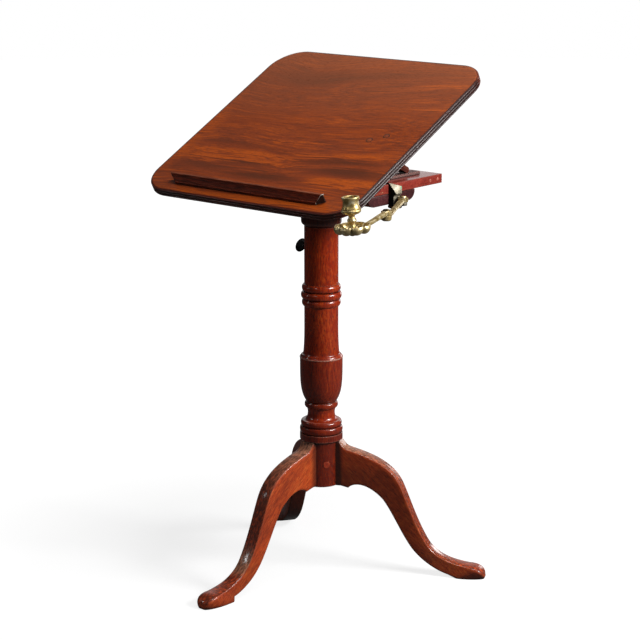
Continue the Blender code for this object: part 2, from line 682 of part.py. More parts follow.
def build_hinge_rail(head):
    low = (-RAIL_LENGTH / 2, HINGE_Y + HINGE_RADIUS + CLEARANCE, ratchet_bottom)
    high = (RAIL_LENGTH / 2, low[1] + RAIL_DEPTH, horse_level + board_underside - 2 * CLEARANCE)
    bevel(add_mesh("hinge_rail", box(low, high), DARK_WOOD, head), EDGE_BEVEL)


def build_hinges(head, board):
    """Two butt hinges: the fixed leaf stands on the rail's front, the moving leaf lies under the board."""
    half = HINGE_LENGTH / 2
    middle = HINGE_KNUCKLE / 2
    for side, x in (("left", -HINGE_SPACING / 2), ("right", HINGE_SPACING / 2)):
        name = f"hinge_{side}"
        fixed_axis = add_empty(f"{name}_fixed_axis", head, (x, HINGE_Y, horse_level))
        moving_axis = add_empty(f"{name}_moving_axis", board, (x, 0, 0))
        leaf_back = HINGE_RADIUS - CLEARANCE
        leaf_bottom = ratchet_bottom - horse_level
        low = (-half, leaf_back - HINGE_LEAF_THICKNESS, leaf_bottom)
        fixed = add_mesh(f"{name}_fixed_leaf", box(low, (half, leaf_back, 0)), BRASS, fixed_axis)
        gap = box((-middle - CLEARANCE, -HINGE_LEAF_REACH, -HINGE_RADIUS - CLEARANCE),
                  (middle + CLEARANCE, HINGE_LEAF_REACH, HINGE_LEAF_REACH))
        boolean(fixed, add_tool(f"{name} knuckle gap", gap, fixed_axis), 'DIFFERENCE')
        for end, start, stop in (("a", -half, -middle - CLEARANCE), ("b", middle + CLEARANCE, half)):
            knuckle = along_x(cylinder(HINGE_RADIUS - CLEARANCE, start, stop))
            boolean(fixed, add_tool(f"{name} fixed knuckle {end}", knuckle, fixed_axis), 'UNION')
        leaf_top = board_underside - CLEARANCE
        leaf_low = leaf_top - HINGE_LEAF_THICKNESS
        low = (-half, -HINGE_LEAF_REACH, leaf_low)
        moving = add_mesh(f"{name}_moving_leaf", box(low, (half, 0, leaf_top)), BRASS, moving_axis)
        web = box((-middle, -HINGE_RADIUS / 2, 0), (middle, -CLEARANCE, leaf_top - CLEARANCE))
        boolean(moving, add_tool(f"{name} web", web, moving_axis), 'UNION')
        knuckle = along_x(cylinder(HINGE_RADIUS - CLEARANCE, -middle, middle))
        boolean(moving, add_tool(f"{name} moving knuckle", knuckle, moving_axis), 'UNION')
        for piece, axis in ((fixed, fixed_axis), (moving, moving_axis)):
            bore = along_x(cylinder(HINGE_PIN_RADIUS + CLEARANCE, -HINGE_LENGTH, HINGE_LENGTH, 12))
            boolean(piece, add_tool(f"{piece.name} bore", bore, axis), 'DIFFERENCE')
        pin = along_x(cylinder(HINGE_PIN_RADIUS, -half, half, 12))
        add_mesh(f"{name}_pin", pin, BRASS, fixed_axis)


def board_outline(inset):
    """Rounded rectangle of the board's plan, drawn in by inset."""
    radius = BOARD_CORNER - inset
    points = []
    corners = ((1, 1, 0), (-1, 1, 90), (-1, -1, 180), (1, -1, 270))
    for x_sign, y_sign, start in corners:
        x = x_sign * (BOARD_WIDTH / 2 - BOARD_CORNER)
        y = board_back - BOARD_CORNER if y_sign > 0 else board_front + BOARD_CORNER
        points += arc((x, y), (radius, radius), start, start + 90, 8)
    return points


def board_rings():
    """Plan outlines stacked through the thickness, following the reeds of the edge."""
    rings = []
    reed = BOARD_THICKNESS / REED_COUNT
    steps = 4
    for number in range(REED_COUNT):
        for i in range(steps + 1):
            if number and i == 0:
                continue
            angle = math.pi * i / steps
            inset = REED_BULGE * (1 - math.sin(angle))
            height = board_underside + reed * (number + (1 - math.cos(angle)) / 2)
            rings.append([(x, y, height) for x, y in board_outline(inset)])
    return rings


def build_board(tilt):
    """Board with two plugs; an edge behind the ledge keeps the reading face one clear plane."""
    slab = loft(board_rings())
    parts = list(slab.verts) + list(slab.edges) + list(slab.faces)
    line = (0, ledge_back + CLEARANCE, 0)
    bmesh.ops.bisect_plane(slab, geom=parts, dist=1e-6, plane_co=line, plane_no=(0, 1, 0))
    board = add_mesh("board", slab, BOARD_WOOD, tilt)
    lug_x = STILE_CENTRE + STILE_WIDTH / 2 + CLEARANCE + LUG_WIDTH / 2
    for number, sign in ((1, -1), (2, 1)):
        place = (lug_x + sign * BOARD_PLUG_STEP_X, HORSE_LENGTH + sign * BOARD_PLUG_STEP_Y)
        floor = board_top - BOARD_PLUG_DEPTH
        bore = BOARD_PLUG_RADIUS + CLEARANCE
        hole = cylinder(bore, floor - CLEARANCE, board_top + BOARD_PLUG_DEPTH, centre=place)
        boolean(board, add_tool(f"board plug hole {number}", hole, tilt), 'DIFFERENCE')
        plug = cylinder(BOARD_PLUG_RADIUS, floor, board_top, centre=place)
        add_mesh(f"board_plug_{number}", plug, DARK_WOOD, tilt)
    return board


def build_horse(tilt, fold):
    pin_start = STILE_CENTRE - STILE_WIDTH / 2
    lug_start = STILE_CENTRE + STILE_WIDTH / 2 + CLEARANCE
    radius = HORSE_THICKNESS / 2
    for side, sign in (("left", -1), ("right", 1)):
        outline = arc((HORSE_LENGTH, 0), (radius, radius), -90, 90, 8)
        outline += arc((0, 0), (radius, radius), 90, 270, 8)
        start, stop = sorted((sign * pin_start, sign * (pin_start + STILE_WIDTH)))
        stile = add_mesh(f"horse_stile_{side}", prism(outline, start, stop, "x"), RED_WOOD, fold)
        bore = along_x(cylinder(HORSE_PIN_RADIUS + CLEARANCE, start - STILE_WIDTH, stop + STILE_WIDTH))
        boolean(stile, add_tool(f"stile bore {side}", bore, fold), 'DIFFERENCE')
        start, stop = sorted((sign * lug_start, sign * (lug_start + LUG_WIDTH)))
        low = (start, HORSE_LENGTH - LUG_LENGTH / 2, -radius)
        high = (stop, HORSE_LENGTH + LUG_LENGTH / 2, board_underside - CLEARANCE)
        lug = add_mesh(f"horse_lug_{side}", box(low, high), DARK_WOOD, tilt)
        bevel(lug, EDGE_BEVEL)
        start, stop = sorted((sign * pin_start, sign * (lug_start + LUG_WIDTH)))
        pin = moved(along_x(cylinder(HORSE_PIN_RADIUS, start, stop, 12)), (0, HORSE_LENGTH, 0))
        add_mesh(f"horse_pin_{side}", pin, IRON, tilt)
        bore = along_x(cylinder(HORSE_PIN_RADIUS + CLEARANCE, start - LUG_WIDTH, stop + LUG_WIDTH))
        boolean(lug, add_tool(f"lug bore {side}", moved(bore, (0, HORSE_LENGTH, 0)), tilt), 'DIFFERENCE')
    rail_end = pin_start - CLEARANCE
    rail_half = HORSE_RAIL_WIDTH / 2
    rail_rise = radius - EDGE_BEVEL
    for name, place in (("horse_rail_upper", UPPER_RAIL_PLACE), ("horse_rail_lower", LOWER_RAIL_PLACE)):
        rail = box((-rail_end, place - rail_half, -rail_rise), (rail_end, place + rail_half, rail_rise))
        bevel(add_mesh(name, rail, RED_WOOD, fold), EDGE_BEVEL)


def build_ratchets(head):
    """Toothed strips under the two stiles' toes."""
    start = HINGE_Y + RATCHET_START
    valley = ratchet_top - RATCHET_TOOTH_DEPTH
    outline = [(start, ratchet_bottom)]
    for tooth in range(RATCHET_TEETH):
        y = start + tooth * RATCHET_TOOTH
        outline += [(y, ratchet_top), (y + RATCHET_TOOTH * 0.3, ratchet_top)]
        outline += [(y + RATCHET_TOOTH * 0.4, valley)]
    outline += [(start + RATCHET_TEETH * RATCHET_TOOTH, ratchet_top)]
    outline += [(start + RATCHET_TEETH * RATCHET_TOOTH, ratchet_bottom)]
    for side, sign in (("left", -1), ("right", 1)):
        near = sign * STILE_CENTRE - STILE_WIDTH / 2
        add_mesh(f"ratchet_{side}", prism(outline, near, near + STILE_WIDTH, "x"), DARK_WOOD, head)


def ledge_section():
    """Section of the ledge as (share of depth from the back, height): flat back, moulded front."""
    top = LEDGE_TOP_WIDTH / LEDGE_DEPTH
    section = [(0, 0), (0, LEDGE_HEIGHT), (top, LEDGE_HEIGHT)]
    quirk = LEDGE_HEIGHT * 0.86
    foot = LEDGE_FOOT_HEIGHT
    hollow = [(top, quirk), (top, quirk * 0.6), (1, foot + (quirk - foot) * 0.35), (1, foot)]
    section += [tuple(p) for p in bezier(hollow, 5)]
    return section + [(1, 0)]


def build_ledge(board, lift):
    """Book ledge with splayed ends, held on two pegs that stand in holes of the board."""
    seat = board_top + CLEARANCE
    back = ledge_back
    rings = []
    for sign in (-1, 1):
        ring = []
        for share, height in ledge_section():
            half = (LEDGE_BACK_LENGTH + (LEDGE_FRONT_LENGTH - LEDGE_BACK_LENGTH) * share) / 2
            ring.append((sign * half, back - share * LEDGE_DEPTH, seat + height))
        rings.append(ring)
    ledge = add_mesh("ledge", loft(rings), DARK_WOOD, lift, 25)
    peg_y = back - LEDGE_DEPTH * 0.35
    peg_top = seat + LEDGE_PEG_SINK
    peg_bottom = peg_top - LEDGE_PEG_LENGTH
    for side, x in (("left", -LEDGE_PEG_SPACING / 2), ("right", LEDGE_PEG_SPACING / 2)):
        peg = cylinder(LEDGE_PEG_RADIUS, peg_bottom, peg_top, 12, (x, peg_y))
        add_mesh(f"ledge_peg_{side}", peg, DARK_WOOD, lift)
        bore = LEDGE_PEG_RADIUS + CLEARANCE
        hole = cylinder(bore, peg_bottom - CLEARANCE, peg_top + CLEARANCE, 12, (x, peg_y))
        tool = add_tool(f"ledge peg hole {side}", hole, lift)
        boolean(board, tool, 'DIFFERENCE')
        boolean(ledge, tool, 'DIFFERENCE')


def build_bracket(head):
    """Brass bracket hooked over the platform's right edge, with the pin that the candle arm swings on."""
    lip_top = platform_top + CLEARANCE + BRACKET_LIP_THICKNESS
    bottom = bearer_bottom - BRACKET_BELOW_BEARER
    nose_bottom = lip_top - BRACKET_NOSE_DROP
    shelf_top = bottom + BRACKET_SHELF_THICKNESS
    face = platform_side + CLEARANCE
    plate = face + BRACKET_PLATE
    nose = platform_side + BRACKET_NOSE_REACH
    outline = [(face, bottom), (plate, bottom), (plate, nose_bottom), (nose, nose_bottom + nose - plate)]
    slope = [outline[-1], (nose, lip_top - BRACKET_LIP_THICKNESS), (plate, lip_top), (face, lip_top)]
    outline += [tuple(p) for p in bezier(slope, 5, include_start=False)]
    lip_end = platform_side - BRACKET_LIP
    outline += [(lip_end, lip_top), (lip_end, platform_top + CLEARANCE)]
    outline += [(face, platform_top + CLEARANCE)]
    front = BRACKET_BACK - BRACKET_WIDTH
    bracket = add_mesh("candle_bracket", prism(outline, front, BRACKET_BACK, "y"), BRASS, head)
    pin_place = (platform_side + ARM_ROOT_OUT, ARM_ROOT_Y)
    radius = BRACKET_SHELF_RADIUS
    shelf = arc(pin_place, (radius, radius), -90, 90, 10)
    shelf_root = plate - BRACKET_PLATE / 2
    shelf += [(shelf_root, ARM_ROOT_Y + radius), (shelf_root, ARM_ROOT_Y - radius)]
    boolean(bracket, add_tool("bracket shelf", prism(shelf, bottom, shelf_top, "z"), head), 'UNION')
    screw_level = (bearer_bottom + bearer_top) / 2
    inwards = Matrix.Rotation(math.radians(-90), 3, 'Y')
    place = (plate, BRACKET_BACK - BRACKET_SCREW_FROM_BACK, screw_level)
    screw = screw_shape()
    bmesh.ops.rotate(screw, verts=screw.verts, matrix=inwards)
    add_mesh("bracket_screw", moved(screw, place), BRASS, head)
    hole = screw_shape(CLEARANCE)
    bmesh.ops.rotate(hole, verts=hole.verts, matrix=inwards)
    tool = add_tool("bracket screw hole", moved(hole, place), head)
    boolean(bracket, tool, 'DIFFERENCE')
    boolean(bpy.data.objects["bearer"], tool, 'DIFFERENCE')
    foot_place = (face + BRACKET_PLATE / 2, front + BRACKET_FOOT_RADIUS * 0.6)
    foot_top = bottom - CLEARANCE
    foot_low = foot_top - BRACKET_FOOT_THICKNESS
    spigot = foot_top + BRACKET_FOOT_SPIGOT_LENGTH
    profile = [(0, foot_low), (BRACKET_FOOT_RADIUS, foot_low), (BRACKET_FOOT_RADIUS, foot_top)]
    profile += [(BRACKET_FOOT_SPIGOT, foot_top), (BRACKET_FOOT_SPIGOT, spigot), (0, spigot)]
    foot = moved(turned(profile, 24), (*foot_place, 0))
    bevel(add_mesh("bracket_foot", foot, BRASS, head), EDGE_BEVEL)
    bore = BRACKET_FOOT_SPIGOT + CLEARANCE
    hole = cylinder(bore, bottom - BRACKET_PLATE, spigot + CLEARANCE, 12, foot_place)
    boolean(bracket, add_tool("bracket foot hole", hole, head), 'DIFFERENCE')
    return shelf_top


def arm_pin(name, parent, place, bottom, eye_top):
    """A pin along Z with a round head on top of the eye that it holds."""
    head_low = eye_top + CLEARANCE
    head_top = head_low + ARM_PIN_HEAD_HEIGHT
    profile = [(0, bottom), (ARM_PIN_RADIUS, bottom), (ARM_PIN_RADIUS, head_low)]
    profile += [(ARM_PIN_HEAD_RADIUS, head_low), (ARM_PIN_HEAD_RADIUS * 0.8, head_top), (0, head_top)]
    return add_mesh(name, moved(turned(profile, SMALL_SEGMENTS), (*place, 0)), BRASS, parent)


def arm_link(name, parent, length, start_level, end_level, end_bore):
    """A cast link along +X: an eye at each end and a sloping bar, with levels of the eyes' undersides."""
    height = ARM_EYE_HEIGHT
    link = add_mesh(name, cylinder(ARM_EYE_RADIUS, start_level, start_level + height, 24), BRASS, parent)
    eye = cylinder(ARM_EYE_RADIUS, end_level, end_level + height, 24, (length, 0))
    boolean(link, add_tool(f"{name} far eye", eye, parent), 'UNION')
    lift = (height - ARM_BAR_THICKNESS) / 2
    half = ARM_BAR_WIDTH / 2
    rings = []
    for x, level in ((ARM_EYE_RADIUS / 2, start_level), (length - ARM_EYE_RADIUS / 2, end_level)):
        low = level + lift
        high = low + ARM_BAR_THICKNESS
        rings.append([(x, -half, low), (x, half, low), (x, half, high), (x, -half, high)])
    boolean(link, add_tool(f"{name} bar", loft(rings), parent), 'UNION')
    low = min(start_level, end_level) - height
    high = max(start_level, end_level) + 2 * height
    for end, x, radius in (("near", 0, ARM_PIN_RADIUS), ("far", length, end_bore)):
        bore = cylinder(radius + CLEARANCE, low, high, centre=(x, 0))
        boolean(link, add_tool(f"{name} {end} bore", bore, parent), 'DIFFERENCE')
    bevel(link, EDGE_BEVEL / 2, 1)
    return link


def pan_surface(thickness_side):
    """Rings of the scalloped pan from its centre hole to its rim; side 0 is the top, 1 the underside."""
    rings = []
    segments = PAN_LOBES * 6
    for share in (0.0, 0.35, 0.7, 0.88, 1.0):
        ring = []
        for i in range(segments):
            angle = 2 * math.pi * i / segments
            notch = PAN_LOBE_DEPTH * (1 - abs(math.sin(angle * PAN_LOBES / 2))) * share ** 2
            hole = RIVET_RADIUS + CLEARANCE
            radius = hole + (PAN_RADIUS - hole) * share - notch
            slope = max(radius - PAN_FLOOR_RADIUS * 0.8, 0) / (PAN_RADIUS - PAN_FLOOR_RADIUS * 0.8)
            height = PAN_RISE * slope ** 1.6 + PAN_WALL * (1 - thickness_side)
            ring.append((radius * math.cos(angle), radius * math.sin(angle), height))
        rings.append(ring)
    return rings


def build_pan_and_socket(lean, eye_top):
    """Drip pan, socket and the rivet that holds both to the end of the outer link; z = 0 is the eye's top."""
    floor = CLEARANCE
    top = pan_surface(0)
    under = pan_surface(1)
    rings = top + list(reversed(under)) + [top[0]]
    bm = loft([[(x, y, z + floor) for x, y, z in ring] for ring in rings], closed_ends=False)
    add_mesh("drip_pan", bm, BRASS, lean, 60)
    base = floor + PAN_WALL + CLEARANCE
    top = base + SOCKET_HEIGHT
    levels = [0.0, 0.05, 0.175, 0.275, 0.37, 0.45, 0.485, 0.54, 0.61, 0.67, 0.75, 0.89, 0.92, 1.0]
    radii = [SOCKET_FOOT_RADIUS, SOCKET_FOOT_RADIUS * 0.8, SOCKET_WAIST_RADIUS, SOCKET_KNOP_RADIUS]
    radii += [SOCKET_NECK_RADIUS, SOCKET_NECK_RADIUS * 1.1, SOCKET_BULGE_RADIUS * 0.75]
    radii += [SOCKET_BULGE_RADIUS * 0.96, SOCKET_BULGE_RADIUS, SOCKET_BULGE_RADIUS * 0.9]
    radii += [SOCKET_CUP_RADIUS, SOCKET_CUP_RADIUS, SOCKET_RIM_RADIUS, SOCKET_RIM_RADIUS]
    profile = [(0, base)] + [(radius, base + level * SOCKET_HEIGHT) for level, radius in zip(levels, radii)]
    bore_bottom = top - CANDLE_BORE_DEPTH
    profile += [(CANDLE_BORE_RADIUS, top), (CANDLE_BORE_RADIUS, bore_bottom), (0, bore_bottom)]
    socket = add_mesh("candle_socket", turned(profile, 32), BRASS, lean)
    rivet_top = base + SOCKET_FOOT_RADIUS
    rivet_low = -eye_top - CLEARANCE
    head = RIVET_RADIUS * 1.9
    profile = [(0, rivet_low - RIVET_RADIUS), (head * 0.7, rivet_low - RIVET_RADIUS), (head, rivet_low)]
    profile += [(RIVET_RADIUS, rivet_low), (RIVET_RADIUS, rivet_top), (0, rivet_top)]
    add_mesh("pan_rivet", turned(profile, SMALL_SEGMENTS), BRASS, lean)
    hole = cylinder(RIVET_RADIUS + CLEARANCE, base - SOCKET_FOOT_RADIUS, rivet_top + CLEARANCE)
    boolean(socket, add_tool("socket rivet hole", hole, lean), 'DIFFERENCE')


def build_candle_arm(head):
    shelf_top = build_bracket(head)
    root_place = (platform_side + ARM_ROOT_OUT, ARM_ROOT_Y)
    eye_bottom = shelf_top + CLEARANCE
    pin_bottom = shelf_top - BRACKET_SHELF_THICKNESS * 0.7
    arm_pin("arm_root_pin", head, root_place, pin_bottom, eye_bottom + ARM_EYE_HEIGHT)
    hole = cylinder(ARM_PIN_RADIUS + CLEARANCE, pin_bottom - CLEARANCE, eye_bottom, centre=root_place)
    boolean(bpy.data.objects["candle_bracket"], add_tool("arm root pin hole", hole, head), 'DIFFERENCE')
    root = add_empty("arm_root", head, (*root_place, eye_bottom), (0, 0, ROOT_LINK_ANGLE))
    arm_link("arm_link_root", root, ROOT_LINK_LENGTH, 0, -ROOT_LINK_DROP, ARM_PIN_RADIUS)
    outer_level = ARM_EYE_HEIGHT + CLEARANCE - ROOT_LINK_DROP
    elbow = add_empty("arm_elbow", root, (ROOT_LINK_LENGTH, 0, outer_level), (0, 0, OUTER_LINK_ANGLE))
    pin = add_empty("elbow_pin_seat", root, (ROOT_LINK_LENGTH, 0, 0))
    arm_pin("arm_elbow_pin", pin, (0, 0), -ROOT_LINK_DROP, outer_level + ARM_EYE_HEIGHT)
    lean_allowance = ARM_EYE_RADIUS * math.sin(math.radians(PAN_LEAN))
    arm_link("arm_link_outer", elbow, OUTER_LINK_LENGTH, 0, -OUTER_LINK_DROP, RIVET_RADIUS + lean_allowance)
    seat = ARM_EYE_HEIGHT - OUTER_LINK_DROP + lean_allowance
    side = math.radians(PAN_LEAN_TURN)
    turn = (-PAN_LEAN * math.sin(side), PAN_LEAN * math.cos(side), 0)
    lean = add_empty("pan_lean", elbow, (OUTER_LINK_LENGTH, 0, seat), turn)
    build_pan_and_socket(lean, ARM_EYE_HEIGHT + 2 * lean_allowance)


def set_on_origin(stand):
    """Moves the stand so that the middle of its box, on the floor, is the origin."""
    bpy.context.view_layer.update()
    depsgraph = bpy.context.evaluated_depsgraph_get()
    corners = []
    for piece in bpy.data.objects:
        if piece.type == 'MESH' and not piece.hide_render:
            finished = piece.evaluated_get(depsgraph)
            corners += [finished.matrix_world @ vertex.co for vertex in finished.data.vertices]
    middle_x = (min(c.x for c in corners) + max(c.x for c in corners)) / 2
    middle_y = (min(c.y for c in corners) + max(c.y for c in corners)) / 2
    stand.location = (-middle_x, -middle_y, -min(c.z for c in corners))


def main():
    stand = add_empty("stand", None)
    build_column(stand)
    build_legs(stand)
    build_spider_plate(stand)
    build_clamp(stand)
    lift = build_pole(stand)
    head = add_empty("head_swivel", lift)
    build_collar(head)
    build_bearer_and_platform(head)
    build_hinge_rail(head)
    build_ratchets(head)
    tilt = add_empty("board_tilt", head, (0, HINGE_Y, horse_level), (TILT, 0, 0))
    board = build_board(tilt)
    build_hinges(head, tilt)
    fold = add_empty("horse_fold", tilt, (0, HORSE_LENGTH, 0), (-2 * TILT, 0, 0))
    build_horse(tilt, fold)
    build_ledge(board, add_empty("ledge_lift", tilt))
    build_candle_arm(head)
    set_on_origin(stand)


main()
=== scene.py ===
"""Looks of the tripod reading stand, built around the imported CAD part.

Metres, +Z up, in the part's own frame. Each piece carries a grain attribute: its place in the plank it
was cut from, with the plank's length along X, so that one polish serves pieces that lie any way round.
"""
import json
import math

import bmesh
import bpy
from mathutils import Euler, Matrix, Vector

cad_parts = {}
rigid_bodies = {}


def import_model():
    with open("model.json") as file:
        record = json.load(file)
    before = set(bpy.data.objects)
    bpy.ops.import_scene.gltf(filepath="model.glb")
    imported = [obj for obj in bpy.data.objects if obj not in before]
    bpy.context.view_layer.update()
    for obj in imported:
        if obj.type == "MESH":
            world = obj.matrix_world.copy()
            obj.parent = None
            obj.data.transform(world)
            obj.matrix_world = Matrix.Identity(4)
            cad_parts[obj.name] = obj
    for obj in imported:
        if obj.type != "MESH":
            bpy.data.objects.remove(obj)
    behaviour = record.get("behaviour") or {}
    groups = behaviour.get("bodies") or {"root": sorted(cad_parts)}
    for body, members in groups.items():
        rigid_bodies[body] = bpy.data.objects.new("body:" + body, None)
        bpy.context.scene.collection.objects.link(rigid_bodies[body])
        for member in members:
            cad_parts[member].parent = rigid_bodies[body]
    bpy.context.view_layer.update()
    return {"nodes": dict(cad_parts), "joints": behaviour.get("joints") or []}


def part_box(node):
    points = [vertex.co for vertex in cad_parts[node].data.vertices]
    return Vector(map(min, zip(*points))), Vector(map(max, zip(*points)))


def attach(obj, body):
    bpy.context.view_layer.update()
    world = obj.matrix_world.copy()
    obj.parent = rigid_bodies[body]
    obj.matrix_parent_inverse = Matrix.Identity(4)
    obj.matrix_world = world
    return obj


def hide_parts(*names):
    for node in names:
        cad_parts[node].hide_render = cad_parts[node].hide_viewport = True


for leftover in list(bpy.data.objects):
    bpy.data.objects.remove(leftover, do_unlink=True)

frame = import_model()
joints = {joint["name"]: joint for joint in frame["joints"]}
pole_low, pole_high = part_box("pole")
AXIS = Vector(((pole_low.x + pole_high.x) / 2, (pole_low.y + pole_high.y) / 2, 0))

# Sizes repeated from the part; the hub's belly is drawn a little fuller than the solid's hub
FIT = 0.0003
HUB_BOTTOM, HUB_RADIUS, HUB_BELLY = 0.1602, 0.0315, 0.0337
DRUM_BOTTOM, DRUM_RADIUS = 0.245, 0.039
COLUMN_TOP, SHAFT_RADIUS = 0.6397, 0.0307
POLE_RADIUS, BORE_DEPTH = 0.02, 0.31
LEG_ANGLES = {"leg_right": 27.2, "leg_left": 147.2, "leg_front": 267.2}
FOOT_REACH = 0.304
PLATFORM_SIDE, PLATFORM_FRONT, PLATFORM_BACK = 0.159, -0.1181, 0.1435
BEARER_BOTTOM, BEARER_TOP = 0.6959, 0.7143
PLATFORM_BOTTOM, PLATFORM_TOP = 0.7146, 0.7311
TILT = 27.75
BOARD_WIDTH, BOARD_DEPTH, BOARD_THICKNESS = 0.4735, 0.451, 0.0152
BOARD_OVERHANG, BOARD_CORNER = 0.1057, 0.059
BOARD_UNDERSIDE = 0.006
BOARD_TOP = BOARD_UNDERSIDE + BOARD_THICKNESS
BOARD_FRONT, BOARD_BACK = -BOARD_OVERHANG, BOARD_DEPTH - BOARD_OVERHANG
HORSE_LENGTH, HORSE_HALF = 0.11, 0.0057
STILE_CENTRE, STILE_WIDTH = 0.124, 0.018
ROOT_TURN, ROOT_LENGTH, ROOT_DROP = -63.8, 0.134, 0.0072
OUTER_TURN, OUTER_LENGTH, OUTER_DROP = -76.8, 0.1265, 0.0125
EYE_RADIUS, EYE_HEIGHT, PIN_HEAD = 0.009, 0.0075, 0.0025
PAN_LEAN, PAN_LEAN_TURN = 4.0, -63.0

# Frames of the moving bodies at rest
STAND = Matrix.Translation(AXIS)
BOARD = Matrix.Translation(joints["board_tilt"]["pos_m"]) @ Matrix.Rotation(math.radians(TILT), 4, 'X')
HORSE = BOARD @ Matrix.Translation((0, HORSE_LENGTH, 0)) @ Matrix.Rotation(math.radians(-2 * TILT), 4, 'X')
ARM_ROOT = Matrix.Translation(joints["arm_root_swing"]["pos_m"])
ARM_ROOT = ARM_ROOT @ Matrix.Rotation(math.radians(ROOT_TURN), 4, 'Z')
ARM_OUTER = Matrix.Translation(joints["arm_elbow_swing"]["pos_m"])
ARM_OUTER = ARM_OUTER @ Matrix.Rotation(math.radians(OUTER_TURN), 4, 'Z')
lean_side = math.radians(PAN_LEAN_TURN)
lean_rise = EYE_RADIUS * math.sin(math.radians(PAN_LEAN))
lean_turn = math.radians(PAN_LEAN) * Vector((-math.sin(lean_side), math.cos(lean_side), 0))
PAN = ARM_OUTER @ Matrix.Translation((OUTER_LENGTH, 0, EYE_HEIGHT - OUTER_DROP + lean_rise))
PAN = PAN @ Euler(lean_turn).to_matrix().to_4x4()

# Home of a shape that is drawn in its place
HERE = Matrix.Identity(4)

# Grain directions: plank length to X
ALONG_X = HERE
ALONG_Y = Matrix.Rotation(math.radians(-90), 4, 'Z')
ALONG_Z = Matrix.Rotation(math.radians(90), 4, 'Y')


def colour(code):
    """sRGB hex to linear RGBA."""
    values = [int(code[i:i + 2], 16) / 255 for i in (1, 3, 5)]
    linear = [v / 12.92 if v <= 0.04045 else ((v + 0.055) / 1.055) ** 2.4 for v in values]
    return (*linear, 1.0)


def node(tree, kind, inputs=None, stops=None, **settings):
    """Adds a node, sets its properties and ramp stops, and sets or links its inputs."""
    made = tree.nodes.new(kind)
    for name, value in settings.items():
        setattr(made, name, value)
    for socket, value in (inputs or {}).items():
        if isinstance(value, bpy.types.NodeSocket):
            tree.links.new(value, made.inputs[socket])
        else:
            made.inputs[socket].default_value = value
    if stops:
        ramp = made.color_ramp
        while len(ramp.elements) < len(stops):
            ramp.elements.new(1.0)
        for element, (place, shade) in zip(ramp.elements, stops):
            element.position = place
            element.color = shade
    return made


def new_finish(name):
    """An empty finish, with its node tree and its shader."""
    material = bpy.data.materials.new(name)
    material.use_nodes = True
    return material, material.node_tree, material.node_tree.nodes["Principled BSDF"]


def edge_share(tree, distance, start, end, most, outer=True):
    """How far a place lies on an outer edge polished by handling, or else deep in a hollow or between parts, from
    nothing up to the most.
    """
    found = node(tree, "ShaderNodeAmbientOcclusion", {"Distance": distance}, samples=6, inside=outer,
                 only_local=outer).outputs["AO"]
    return node(tree, "ShaderNodeMapRange", {0: found, 1: start, 2: end, 4: most}).outputs[0]


